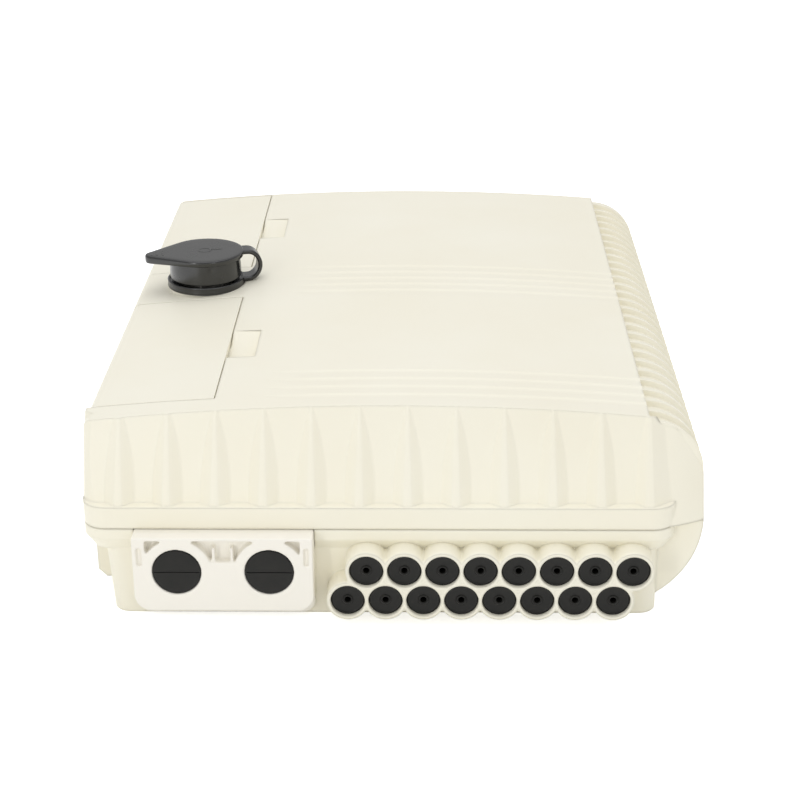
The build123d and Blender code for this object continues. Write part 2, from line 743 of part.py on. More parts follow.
def latch_ear(start, end):
    """An ear on the base's side that carries one end of a flap's pin."""
    root_x = FLAP_LEFT + BASE_SIDE + BASE_DRAFT + WALL / 2
    height = FLAP_PIVOT_Z + FLAP_KNUCKLE_R
    ear = box_between(PIVOT_X, root_x, start, end, FLAP_PIVOT_Z - FLAP_KNUCKLE_R, height)
    return ear + rod(PIVOT_X, FLAP_PIVOT_Z, FLAP_KNUCKLE_R, start, end)


def latch_pillar(start):
    """A pillar between the flange and the base's side that closes one end of a flap's gap."""
    root_x = FLAP_LEFT + BASE_SIDE + BASE_DRAFT + WALL / 2
    side_x = FLAP_LEFT + PILLAR_SET
    profile = Polyline(
        (side_x, PILLAR_FOOT + PILLAR_SLANT),
        (side_x, BASE_TOP - FLANGE_EDGE),
        (root_x, BASE_TOP - FLANGE_EDGE),
        (root_x, PILLAR_FOOT),
        (side_x + PILLAR_SLANT, PILLAR_FOOT),
        close=True,
    )
    return along_y(section(profile), start, start + PILLAR_LENGTH)


def striker():
    """The post and lip that the lock's cam turns under."""
    root_x = FLAP_LEFT + GROOVE_INSET + GROOVE_WIDTH
    web_x = FLAP_LEFT + STRIKER_SET
    low = LOCK_Y - STRIKER_WIDTH / 2
    high = LOCK_Y + STRIKER_WIDTH / 2
    lip_z = cam_top() + RUNNING_GAP
    column = box_between(root_x, web_x + STRIKER_THICK, low, high, BASE_TOP - 3 * WALL, BASE_TOP)
    web = box_between(web_x, web_x + STRIKER_THICK, low, high, BASE_TOP - 3 * WALL, lip_z)
    lip = box_between(web_x, web_x + STRIKER_THICK + STRIKER_LIP, low, high, lip_z, lip_z + STRIKER_THICK)
    return column + web + lip


def cam_top():
    """Height of the upper face of the lock's cam."""
    return lock_seat_z() - LOCK_DEPTH - SEAT_GAP


def clamp_places():
    """X of the two main cable entries."""
    return [ENTRY_X - MAIN_PITCH / 2, ENTRY_X + MAIN_PITCH / 2]


def clamp_block(x):
    """The cradle in the base that a main cable is clamped down on."""
    start = FRONT_Y + CLAMP_SET
    end = start + CLAMP_LENGTH
    middle = start + CLAMP_LENGTH / 2
    block = box_between(x - CLAMP_WIDTH / 2, x + CLAMP_WIDTH / 2, start, end, WALL / 2, MAIN_Z - WALL)
    block -= rod(x, MAIN_Z, MAIN_BORE_R - WALL / 2, start - WALL, end + WALL)
    for side in (-1, 1):
        block -= post(clamp_screw_x(x, side), middle, CLAMP_SCREW_R + PIN_FIT, 2 * WALL, MAIN_Z)
    return block


def clamp_screw_x(x, side):
    """X of a clamp screw, on one side of the cable at x."""
    return x + side * (CLAMP_WIDTH / 2 - CLAMP_HEAD_R - SEAT_GAP)


def tray_posts():
    """X and Y of the posts that the splice trays sit on."""
    half_x = TRAY_LENGTH / 2 - POST_INSET
    half_y = TRAY_WIDTH / 2 - POST_INSET
    mid_y = FRONT_Y + TRAY_SET + TRAY_WIDTH / 2
    return [(TRAY_X + x * half_x, mid_y + y * half_y) for x in (-1, 1) for y in (-1, 1)]


def base_shell():
    """The moulded base: tub, curved flank, gasket rim, ports, ears, striker and screw bosses."""
    shell = tray_form(0) + base_flank(0)
    shell += flange()
    below_rim = box_between(-BOX_WIDTH, BOX_WIDTH, FRONT_Y, REAR_Y, 0, BASE_TOP - FLANGE_HEIGHT)
    shell -= tray_form(WALL) & below_rim
    shell -= base_flank(WALL) & below_rim
    shell -= plan(RIM_WIDTH, BASE_TOP - FLANGE_HEIGHT - WALL, BASE_TOP + WALL)
    shell -= rim_band(GROOVE_INSET, GROOVE_INSET + GROOVE_WIDTH, BASE_TOP - GROOVE_DEPTH, BASE_TOP + WALL)
    for start in FLAP_STARTS:
        shell -= box_between(
            FLAP_LEFT - WALL,
            FLAP_LEFT + FLAP_THICK + FLAP_GAP,
            start - FLAP_GAP,
            start + FLAP_LENGTH + FLAP_GAP,
            0,
            BASE_TOP + WALL,
        )
        shell += latch_ear(start, start + FLAP_EAR)
        shell += latch_ear(start + FLAP_LENGTH - FLAP_EAR, start + FLAP_LENGTH)
        shell += latch_pillar(start - FLAP_GAP - PILLAR_LENGTH)
        shell += latch_pillar(start + FLAP_LENGTH + FLAP_GAP)
        shell -= rod(PIVOT_X, FLAP_PIVOT_Z, HINGE_PIN_R + PIN_FIT, start - WALL, start + FLAP_LENGTH + WALL)
    shell += port_web()
    shell += port_row_block(PORT_OUTER_R, FRONT_Y - PORT_REACH, FRONT_Y + BASE_FRONT_SET + WALL / 2)
    shell -= port_row_block(PORT_BORE_R, FRONT_Y - PORT_REACH - WALL, PORT_BACK_Y + WALL)
    half = ENTRY_WIDTH / 2 - WALL
    shell -= box_between(
        ENTRY_X - half, ENTRY_X + half, FRONT_Y - WALL, PORT_BACK_Y + WALL, ENTRY_FOOT_Z + 2 * WALL, BASE_TOP
    )
    shell -= entry_window(ENTRY_FIT)
    shell -= entry_plate(ENTRY_FIT)
    for x, y in wall_screw_places():
        shell += post(x, y, SCREW_BOSS_R, 0, SCREW_BOSS_HEIGHT)
    for x, y in wall_screw_places():
        shell -= post(x, y, SCREW_HOLE_R, -WALL, SCREW_BOSS_HEIGHT + WALL)
    for x in clamp_places():
        shell += clamp_block(x)
    shell += striker()
    return add_knuckles(shell, "base", "lid")


def base_gasket():
    """The square-cut seal in the rim's groove."""
    inset = GROOVE_INSET + (GROOVE_WIDTH - GASKET_WIDTH) / 2
    top = JOINT_Z - TONGUE_HEIGHT - RUNNING_GAP
    return rim_band(inset, inset + GASKET_WIDTH, BASE_TOP - GROOVE_DEPTH, top)


def entry_clamp():
    """The plate that closes the rim over the two main cables, with a ring round each."""
    half = ENTRY_WIDTH / 2
    left = ENTRY_X - half
    right = ENTRY_X + half
    plate = entry_plate(0)
    plate += entry_window(0) & box_between(left, right, FRONT_Y, FRONT_Y + RIM_WIDTH, 0, BASE_TOP)
    boss_half = MAIN_BOSS_WIDTH / 2
    boss_y = FRONT_Y - MAIN_REACH / 2
    for x in clamp_places():
        plate += rod(x, MAIN_Z, MAIN_RING_R, FRONT_Y - MAIN_REACH, FRONT_Y + BASE_FRONT_SET + WALL)
        plate += box_between(x - boss_half, x + boss_half, boss_y, FRONT_Y, MAIN_Z, BASE_TOP)
    recess_half = MAIN_PITCH / 2 - MAIN_RING_R + WALL / 2
    recess = box_between(
        ENTRY_X - recess_half,
        ENTRY_X + recess_half,
        FRONT_Y - WALL,
        FRONT_Y + ENTRY_PLATE / 2,
        MAIN_Z - WALL / 2,
        BASE_TOP - FLANGE_HEIGHT + WALL / 2,
    )
    for side in (-1, 1):
        rib_x = ENTRY_X + side * recess_half / 2
        rib_half = WALL / 4
        recess -= box_between(rib_x - rib_half, rib_x + rib_half, FRONT_Y - WALL, FRONT_Y + WALL, 0, BASE_TOP)
    plate -= recess
    for side in (-1, 1):
        slot_x = ENTRY_X + side * (half - 2 * WALL / 3 - WALL)
        plate -= box_between(
            slot_x - WALL / 2,
            slot_x + WALL / 2,
            FRONT_Y - WALL,
            FRONT_Y + ENTRY_PLATE / 2,
            MAIN_Z - WALL,
            BASE_TOP - FLANGE_HEIGHT - WALL / 4,
        )
    for x in clamp_places():
        plate -= rod(x, MAIN_Z, MAIN_BORE_R, FRONT_Y - MAIN_REACH - WALL, FRONT_Y + RIM_WIDTH)
    plate -= rim_band(GROOVE_INSET, GROOVE_INSET + GROOVE_WIDTH, BASE_TOP - GROOVE_DEPTH, BASE_TOP + WALL)
    return plate


def main_grommet(x):
    """A rubber plug with a slit across its membrane."""
    front = FRONT_Y - MAIN_REACH
    back = FRONT_Y + BASE_FRONT_SET + WALL
    plug = rod(x, MAIN_Z, MAIN_BORE_R - PIN_FIT, front, back)
    plug -= rod(x, MAIN_Z, MAIN_BORE_R - WALL, front + DROP_MEMBRANE, back + WALL)
    slit = Pos(x, front, MAIN_Z) * Box(MAIN_SLIT_WIDTH, 4 * WALL, MAIN_SLIT)
    return plug - slit


def drop_grommet(x, z):
    """A rubber plug with a round cable hole, sunk in its port."""
    front = FRONT_Y - PORT_REACH + PORT_RECESS
    plug = rod(x, z, PORT_BORE_R - PIN_FIT, front, PORT_BACK_Y)
    plug -= rod(x, z, PORT_BORE_R - WALL, front + DROP_MEMBRANE, PORT_BACK_Y + WALL)
    return plug - rod(x, z, DROP_HOLE_R, front - WALL, front + 2 * DROP_MEMBRANE)


def latch_flap(start):
    """An L-shaped flap: its side hangs on the base and its top lies flush in the lid."""
    low_y = start
    high_y = start + FLAP_LENGTH
    outer = along_y(crown_section(0, FLAP_LEFT, FLAP_RIGHT, FLAP_PIVOT_Z, LID_EDGE_R), low_y, high_y)
    inner = along_y(
        crown_section(FLAP_THICK, FLAP_LEFT + FLAP_THICK, FLAP_RIGHT + WALL, 0, LID_EDGE_R - FLAP_THICK),
        low_y - WALL,
        high_y + WALL,
    )
    flap = outer - inner
    inner_y = FLAP_EAR + RUNNING_GAP
    side_top = FLAP_PIVOT_Z + FLAP_KNUCKLE_R + RUNNING_GAP
    for cut_start, cut_end in ((low_y - WALL, low_y + inner_y), (high_y - inner_y, high_y + WALL)):
        flap -= box_between(FLAP_LEFT - WALL, FLAP_LEFT + BASE_SIDE, cut_start, cut_end, 0, side_top)
    flap += rod(PIVOT_X, FLAP_PIVOT_Z, FLAP_KNUCKLE_R, low_y + inner_y, high_y - inner_y)
    flap -= rod(PIVOT_X, FLAP_PIVOT_Z, HINGE_PIN_R + PIN_FIT, low_y - WALL, high_y + WALL)
    hook_x = FLAP_LEFT + FLAP_THICK
    return flap + box_between(
        hook_x - WALL / 4,
        hook_x + FLAP_HOOK,
        low_y + FLAP_EAR,
        high_y - FLAP_EAR,
        SKIRT_TOP + RUNNING_GAP,
        SKIRT_TOP + RUNNING_GAP + FLAP_HOOK_HEIGHT,
    )


def lock_housing():
    """The lock's barrel: a round head on the lid and a body through it."""
    seat = lock_seat_z() + SEAT_GAP
    head = post(LOCK_X, LOCK_Y, LOCK_HEAD_R, seat, seat + LOCK_HEAD_HEIGHT)
    rim = head.edges().filter_by(GeomType.CIRCLE).group_by(Axis.Z)[-1]
    head = chamfer(rim, WALL / 2)
    body = post(LOCK_X, LOCK_Y, LOCK_BODY_R, seat - LOCK_DEPTH, seat + WALL)
    return head + body - post(LOCK_X, LOCK_Y, LOCK_PLUG_R + PIN_FIT, 0, TOP_Z + WALL)


def lock_nut():
    """The hexagon nut that holds the lock up against the lid."""
    top = lock_seat_z() - 2 * WALL - SEAT_GAP
    hexagon = RegularPolygon(LOCK_NUT_WIDTH / 2, 6)
    nut = extrude(Pos(LOCK_X, LOCK_Y, top - LOCK_NUT_HEIGHT) * hexagon, LOCK_NUT_HEIGHT)
    return nut - post(LOCK_X, LOCK_Y, LOCK_BODY_R + PIN_FIT, 0, TOP_Z)


def lock_plug():
    """The turning plug with its key slot."""
    seat = lock_seat_z() + SEAT_GAP
    top = seat + LOCK_HEAD_HEIGHT - WALL / 4
    plug = post(LOCK_X, LOCK_Y, LOCK_PLUG_R, cam_top() - CAM_THICK - WALL, top)
    return plug - Pos(LOCK_X, LOCK_Y, top) * Box(LOCK_KEY_SLOT, LOCK_KEY_LENGTH, 6 * WALL)


def lock_cam():
    """The flat cam on the plug's lower end, shown turned clear of the striker."""
    low = cam_top() - CAM_THICK
    half = CAM_WIDTH / 2
    blade = box_between(LOCK_X - half, LOCK_X + half, LOCK_Y, LOCK_Y + CAM_REACH - half, low, cam_top())
    blade += post(LOCK_X, LOCK_Y + CAM_REACH - half, half, low, cam_top())
    blade += post(LOCK_X, LOCK_Y, half, low, cam_top())
    return blade - post(LOCK_X, LOCK_Y, LOCK_PLUG_R + PIN_FIT, 0, TOP_Z)


def cap_frame():
    """The lock cap's own frame: origin on the lid at the lock's axis, X towards the strap."""
    return Pos(LOCK_X, LOCK_Y, lock_seat_z() + SEAT_GAP) * Rot(0, 0, CAP_TURN)


def strap_loop(upper):
    """Half of the strap that joins the cap to its ring, above or below its fold."""
    low = CAP_RING_HEIGHT - CAP_STRAP_THICK / 2
    high = CAP_RING_HEIGHT + CAP_HEIGHT - CAP_TOP / 2
    middle = (low + high) / 2
    reach = CAP_STRAP_REACH + CAP_STRAP_THICK / 2
    path = Line((CAP_R - CAP_WALL, high), (CAP_R + WALL, high)) + ThreePointArc(
        (CAP_R + WALL, high), (reach, middle), (CAP_R + WALL, low)
    ) + Line((CAP_R + WALL, low), (CAP_R - CAP_WALL, low))
    band = trace(path, CAP_STRAP_THICK)
    solid = extrude(Plane.XZ * band, CAP_STRAP_WIDTH / 2, both=True)
    gap = RUNNING_GAP / 2
    keep_low = middle + gap if upper else -WALL
    keep_high = high + WALL if upper else middle - gap
    return solid & box_between(CAP_R - CAP_WALL / 2, 2 * CAP_STRAP_REACH, -CAP_R, CAP_R, keep_low, keep_high)


def lock_cap():
    """The rubber cap over the lock: a skirted disc with a pull tab and half of its strap."""
    base = CAP_RING_HEIGHT + RUNNING_GAP
    top = CAP_RING_HEIGHT + CAP_HEIGHT
    tab = Pos(-CAP_TAB_REACH + CAP_TAB_R, 0, 0) * Circle(CAP_TAB_R)
    outline = make_hull((tab + Circle(CAP_R)).edges())
    disc = extrude(Pos(0, 0, top - CAP_TOP) * outline, CAP_TOP)
    skirt = post(0, 0, CAP_R, base, top) - post(0, 0, CAP_R - CAP_WALL, base - WALL, top - CAP_TOP)
    cap = disc + skirt + strap_loop(True)
    return cap_frame() * cap


def lock_cap_ring():
    """The ring that stays round the lock's barrel, with the lower half of the strap."""
    ring = post(0, 0, CAP_R + WALL / 4, 0, CAP_RING_HEIGHT) + strap_loop(False)
    return cap_frame() * (ring - post(0, 0, LOCK_HEAD_R + PIN_FIT, -WALL, CAP_RING_HEIGHT + WALL))


def adapter_places():
    """X and Z of each connector adapter, lower row first."""
    first_x = ADAPTER_ROW_X - (PORT_COLUMNS - 1) / 2 * PORT_PITCH
    return [
        (first_x + column * PORT_PITCH, ADAPTER_LOWER_Z + row * ADAPTER_ROW_STEP)
        for row in range(2)
        for column in range(PORT_COLUMNS)
    ]


def adapter_panel():
    """The folded sheet that carries the adapters across the box."""
    front = FRONT_Y + PANEL_SET
    left = ADAPTER_ROW_X - PORT_COLUMNS * PORT_PITCH / 2 - WALL
    right = ADAPTER_ROW_X + PORT_COLUMNS * PORT_PITCH / 2
    low = WALL + SEAT_GAP
    sheet = box_between(left, right, front, front + PANEL_SHEET, low, low + PANEL_HEIGHT)
    sheet += box_between(left, right, front, front + PANEL_FOOT, low, low + PANEL_SHEET)
    half_x = ADAPTER_WIDTH / 2 + PIN_FIT
    half_z = ADAPTER_HEIGHT / 2 + PIN_FIT
    back = front + PANEL_SHEET + WALL
    for x, z in adapter_places():
        sheet -= box_between(x - half_x, x + half_x, front - WALL, back, z - half_z, z + half_z)
    return sheet


def sc_adapter(x, z):
    """A through adapter for two square connectors, with a dust plug pushed into each end."""
    middle = FRONT_Y + PANEL_SET - ADAPTER_FLANGE / 2 - SEAT_GAP
    body = Box(ADAPTER_WIDTH, ADAPTER_LENGTH, ADAPTER_HEIGHT)
    body += Box(ADAPTER_FLANGE_WIDTH, ADAPTER_FLANGE, ADAPTER_FLANGE_HEIGHT)
    plug_width = ADAPTER_WIDTH - 2 * ADAPTER_WALL
    plug_height = ADAPTER_HEIGHT - 2 * ADAPTER_WALL
    body += Box(plug_width, ADAPTER_LENGTH + 2 * ADAPTER_PLUG, plug_height)
    return Pos(x, middle, z) * body


def tray_outline(inset):
    """Rounded plan of a splice tray."""
    return RectangleRounded(TRAY_LENGTH - 2 * inset, TRAY_WIDTH - 2 * inset, TRAY_R - inset)


def tray_middle_y():
    """Y of the middle of the splice trays."""
    return FRONT_Y + TRAY_SET + TRAY_WIDTH / 2


def splice_tray(level):
    """A shallow tray with a splice holder in the middle and a fibre mandrel at each end."""
    low = TRAY_LOWER_Z + level * TRAY_STEP
    tray = extrude(tray_outline(0), TRAY_HEIGHT)
    tray -= extrude(Pos(0, 0, TRAY_WALL) * tray_outline(TRAY_WALL), TRAY_HEIGHT)
    height = TRAY_HEIGHT - 2 * TRAY_WALL
    fin = Box(SPLICE_LENGTH, TRAY_WALL / 2, height, align=STANDING)
    for index in range(SPLICE_SLOTS + 1):
        tray += Pos(0, (index - SPLICE_SLOTS / 2) * SPLICE_PITCH, TRAY_WALL) * fin
    mandrel = post(0, 0, MANDREL_R, TRAY_WALL / 2, height)
    mandrel -= post(0, 0, MANDREL_R - TRAY_WALL, TRAY_WALL, TRAY_HEIGHT)
    for side in (-1, 1):
        tray += Pos(0, side * (TRAY_WIDTH / 2 - MANDREL_R - 2 * POST_R), 0) * mandrel
    tray = Pos(TRAY_X, tray_middle_y(), low) * tray
    for x, y in tray_posts():
        tray -= post(x, y, POST_R + SEAT_GAP, 0, low + TRAY_HEIGHT)
    return tray


def tray_cover(level):
    """The flat snap-on cover of a splice tray."""
    low = TRAY_LOWER_Z + level * TRAY_STEP + TRAY_HEIGHT + SEAT_GAP
    cover = Pos(TRAY_X, tray_middle_y(), low) * extrude(tray_outline(0), TRAY_COVER)
    for x, y in tray_posts():
        cover -= post(x, y, POST_R + SEAT_GAP, 0, low + TRAY_HEIGHT)
    return cover


def tray_bracket():
    """The base plate with four stepped posts that the trays drop over."""
    low = WALL + SEAT_GAP
    seat = TRAY_LOWER_Z - SEAT_GAP
    top = TRAY_LOWER_Z + TRAY_STEP + TRAY_HEIGHT + 2 * TRAY_COVER
    plate = Pos(TRAY_X, tray_middle_y(), low) * extrude(tray_outline(0), BRACKET_SHEET)
    for x, y in tray_posts():
        plate += post(x, y, POST_SHOULDER_R, low, seat)
        plate += post(x, y, POST_R, low, top)
    return plate


def splitter():
    """The flat cassette of the optical splitter, on the bracket's plate under the trays."""
    low = WALL + BRACKET_SHEET + 2 * SEAT_GAP
    case = Box(SPLITTER_WIDTH, SPLITTER_LENGTH, SPLITTER_HEIGHT, align=STANDING)
    case = Pos(TRAY_X, tray_middle_y(), low) * case
    return fillet(case.edges().filter_by(Axis.Z), 2 * WALL)


def cable_clamp(x):
    """The saddle that holds a main cable down on its cradle."""
    start = FRONT_Y + CLAMP_SET
    radius = MAIN_BORE_R - WALL / 2
    foot = MAIN_Z - WALL + SEAT_GAP
    half = CLAMP_WIDTH / 2
    saddle = rod(x, MAIN_Z, radius + CLAMP_THICK, start, start + CLAMP_LENGTH)
    saddle += box_between(x - half, x + half, start, start + CLAMP_LENGTH, foot, foot + CLAMP_THICK)
    saddle -= rod(x, MAIN_Z, radius, start - WALL, start + CLAMP_LENGTH + WALL)
    saddle -= box_between(x - half, x + half, start - WALL, start + CLAMP_LENGTH + WALL, 0, foot)
    for side in (-1, 1):
        hole_x = clamp_screw_x(x, side)
        saddle -= post(hole_x, start + CLAMP_LENGTH / 2, CLAMP_SCREW_R + PIN_FIT, 0, MAIN_Z + CLAMP_THICK)
    return saddle


def clamp_screws():
    """The four pan-head screws of the cable clamps."""
    seat = MAIN_Z - WALL + 2 * SEAT_GAP + CLAMP_THICK
    y = FRONT_Y + CLAMP_SET + CLAMP_LENGTH / 2
    screws = []
    for x in clamp_places():
        for side in (-1, 1):
            screw_x = clamp_screw_x(x, side)
            shank = post(screw_x, y, CLAMP_SCREW_R, 2 * WALL + SEAT_GAP, seat + WALL / 2)
            screws.append(shank + post(screw_x, y, CLAMP_HEAD_R, seat, seat + WALL))
    return Compound(children=screws)


def build_nodes():
    """Every named piece of the box."""
    nodes = {
        "base_shell": base_shell(),
        "lid_shell": lid_shell(),
        "base_gasket": base_gasket(),
        "entry_clamp": entry_clamp(),
        "lock_housing": lock_housing(),
        "lock_nut": lock_nut(),
        "lock_plug": lock_plug(),
        "lock_cam": lock_cam(),
        "lock_cap": lock_cap(),
        "lock_cap_ring": lock_cap_ring(),
        "adapter_panel": adapter_panel(),
        "tray_bracket": tray_bracket(),
        "splitter_cassette": splitter(),
        "clamp_screws": clamp_screws(),
    }
    for index, x in enumerate(clamp_places()):
        nodes[f"main_grommet_{index + 1}"] = main_grommet(x)
        nodes[f"cable_clamp_{index + 1}"] = cable_clamp(x)
    for index, (x, z) in enumerate(port_places()):
        nodes[f"drop_grommet_{index + 1:02d}"] = drop_grommet(x, z)
    for index, (x, z) in enumerate(adapter_places()):
        nodes[f"adapter_{index + 1:02d}"] = sc_adapter(x, z)
    for name, start, hinge_y in zip(("front", "rear"), FLAP_STARTS, HINGE_STARTS):
        nodes[f"latch_flap_{name}"] = latch_flap(start)
        nodes[f"latch_pin_{name}"] = rod(PIVOT_X, FLAP_PIVOT_Z, HINGE_PIN_R, start, start + FLAP_LENGTH)
        nodes[f"hinge_pin_{name}"] = rod(HINGE_X, HINGE_Z, HINGE_PIN_R, hinge_y, hinge_y + HINGE_LENGTH)
    for level, name in enumerate(("lower", "upper")):
        nodes[f"splice_tray_{name}"] = splice_tray(level)
        nodes[f"tray_cover_{name}"] = tray_cover(level)
    return nodes


os.makedirs("parts", exist_ok=True)
for node, shape in build_nodes().items():
    export_step(shape, f"parts/{node}.step")
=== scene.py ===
import logging
import math
from dataclasses import dataclass
from enum import Enum
from typing import Any

import bmesh
import bpy
from mathutils import Matrix, Vector


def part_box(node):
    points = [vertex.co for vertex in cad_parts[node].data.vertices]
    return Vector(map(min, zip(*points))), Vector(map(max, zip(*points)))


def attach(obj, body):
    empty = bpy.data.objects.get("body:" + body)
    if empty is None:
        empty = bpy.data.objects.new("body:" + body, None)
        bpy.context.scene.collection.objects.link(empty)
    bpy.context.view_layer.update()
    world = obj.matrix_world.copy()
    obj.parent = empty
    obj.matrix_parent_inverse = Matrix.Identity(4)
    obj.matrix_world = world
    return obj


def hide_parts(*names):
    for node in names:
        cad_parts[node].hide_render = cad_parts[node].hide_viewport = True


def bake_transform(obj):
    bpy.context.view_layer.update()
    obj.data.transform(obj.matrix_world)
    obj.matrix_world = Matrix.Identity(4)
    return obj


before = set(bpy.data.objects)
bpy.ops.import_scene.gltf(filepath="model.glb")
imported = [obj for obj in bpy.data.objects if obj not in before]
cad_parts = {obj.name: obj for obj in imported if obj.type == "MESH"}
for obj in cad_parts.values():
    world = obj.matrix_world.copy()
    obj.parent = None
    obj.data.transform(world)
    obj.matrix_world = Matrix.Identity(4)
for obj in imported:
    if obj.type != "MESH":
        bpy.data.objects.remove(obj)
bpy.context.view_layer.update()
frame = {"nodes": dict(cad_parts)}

MM = 0.001
LOG = logging.getLogger("splice_box")


class Body(Enum):
    """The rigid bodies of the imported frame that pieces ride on."""

    BASE = "base"
    LID = "lid"
    LOCK_BARREL = "lock_barrel"
    LOCK_CAP = "lock_cap"
    LATCH_FRONT = "latch_front"
    LATCH_REAR = "latch_rear"


def linear(code: str) -> tuple[float, float, float, float]:
    """Turn an sRGB hex colour into linear RGBA.

    Args:
        code: The colour as six hex digits.

    Returns:
        The linear colour with full alpha.
    """
    channels = [int(code[i:i + 2], 16) / 255 for i in (0, 2, 4)]
    toned = [c / 12.92 if c <= 0.04045 else ((c + 0.055) / 1.055) ** 2.4 for c in channels]
    return (toned[0], toned[1], toned[2], 1.0)


def add_node(
    tree: bpy.types.NodeTree,
    kind: str,
    inputs: dict[str | int, Any] | None = None,
    **settings: Any,
) -> bpy.types.Node:
    """Add a node to a tree with its settings, values and links.

    Args:
        tree: The tree that gets the node.
        kind: The node's type name.
        inputs: Values or output sockets for the node's inputs, by name or index.
        settings: The node's own properties.

    Returns:
        The new node.
    """
    node = tree.nodes.new(kind)
    for key, value in settings.items():
        setattr(node, key, value)
    for key, value in (inputs or {}).items():
        socket = node.inputs[key]
        if isinstance(value, bpy.types.NodeSocket):
            tree.links.new(value, socket)
        else:
            socket.default_value = value
    return node


def blank_material(name: str) -> tuple[bpy.types.Material, bpy.types.NodeTree, bpy.types.Node]:
    """Make an empty node material.

    Args:
        name: The material's name.

    Returns:
        The material, its tree and its output node.
    """
    material = bpy.data.materials.new(name)
    material.use_nodes = True
    tree = material.node_tree
    tree.nodes.clear()
    return material, tree, add_node(tree, "ShaderNodeOutputMaterial")


@dataclass(frozen=True)
class MouldedPlastic:
    """An injection-moulded plastic: even colour, a fine spark-eroded skin and soft arrises."""

    name: str
    colour: str
    shade: str
    roughness: float = 0.42
    grain: float = 0.7
    grain_depth: float = 0.012
    edge: float = 0.5
    specular: float = 0.5

    def build(self) -> bpy.types.Material:
        """Build the material.

        Returns:
            The finished material.
        """
        material, tree, output = blank_material(self.name)
        place = add_node(tree, "ShaderNodeTexCoord").outputs["Object"]
        cloud = add_node(tree, "ShaderNodeTexNoise", {
            "Vector": place, "Scale": 1 / (60 * MM), "Detail": 3.0, "Roughness": 0.55})
        tint = add_node(tree, "ShaderNodeValToRGB", {"Fac": cloud.outputs["Fac"]})
        tint.color_ramp.elements[0].position = 0.3
        tint.color_ramp.elements[0].color = linear(self.shade)
        tint.color_ramp.elements[1].position = 0.7
        tint.color_ramp.elements[1].color = linear(self.colour)
        speckle = add_node(tree, "ShaderNodeTexNoise", {
            "Vector": place, "Scale": 1 / (self.grain * MM), "Detail": 2.0, "Roughness": 0.6})
        sheen = add_node(tree, "ShaderNodeMapRange", {
            "Value": speckle.outputs["Fac"], "To Min": self.roughness - 0.05, "To Max": self.roughness + 0.07})
        skin = add_node(tree, "ShaderNodeBump", {
            "Height": speckle.outputs["Fac"], "Strength": 0.35, "Distance": self.grain_depth * MM})
        if self.edge:
            arris = add_node(tree, "ShaderNodeBevel", {"Radius": self.edge * MM}, samples=8)
            tree.links.new(arris.outputs["Normal"], skin.inputs["Normal"])
        surface = add_node(tree, "ShaderNodeBsdfPrincipled", {
            "Base Color": tint.outputs["Color"], "Roughness": sheen.outputs["Result"],
            "Specular IOR Level": self.specular, "IOR": 1.54, "Normal": skin.outputs["Normal"]})
        tree.links.new(surface.outputs["BSDF"], output.inputs["Surface"])
        return material


@dataclass(frozen=True)
class MouldedRubber:
    """Compression-moulded rubber: near black, a dull sheen with flow marks and a light bloom."""

    name: str
    colour: str
    bloom: str
    roughness: float = 0.46
    edge: float = 0.3
    specular: float = 0.22

    def build(self) -> bpy.types.Material:
        """Build the material.

        Returns:
            The finished material.
        """
        material, tree, output = blank_material(self.name)
        place = add_node(tree, "ShaderNodeTexCoord").outputs["Object"]
        cloud = add_node(tree, "ShaderNodeTexNoise", {
            "Vector": place, "Scale": 1 / (9 * MM), "Detail": 4.0, "Roughness": 0.6})
        tint = add_node(tree, "ShaderNodeValToRGB", {"Fac": cloud.outputs["Fac"]})
        tint.color_ramp.elements[0].position = 0.35
        tint.color_ramp.elements[0].color = linear(self.colour)
        tint.color_ramp.elements[1].position = 0.75
        tint.color_ramp.elements[1].color = linear(self.bloom)
        grit = add_node(tree, "ShaderNodeTexNoise", {
            "Vector": place, "Scale": 1 / (0.5 * MM), "Detail": 2.0, "Roughness": 0.6})
        sheen = add_node(tree, "ShaderNodeMapRange", {
            "Value": cloud.outputs["Fac"], "To Min": self.roughness - 0.08, "To Max": self.roughness + 0.1})
        arris = add_node(tree, "ShaderNodeBevel", {"Radius": self.edge * MM}, samples=6)
        skin = add_node(tree, "ShaderNodeBump", {
            "Height": grit.outputs["Fac"], "Strength": 0.3, "Distance": 0.012 * MM,
            "Normal": arris.outputs["Normal"]})
        surface = add_node(tree, "ShaderNodeBsdfPrincipled", {
            "Base Color": tint.outputs["Color"], "Roughness": sheen.outputs["Result"],
            "Specular IOR Level": self.specular, "IOR": 1.52, "Normal": skin.outputs["Normal"]})
        tree.links.new(surface.outputs["BSDF"], output.inputs["Surface"])
        return material


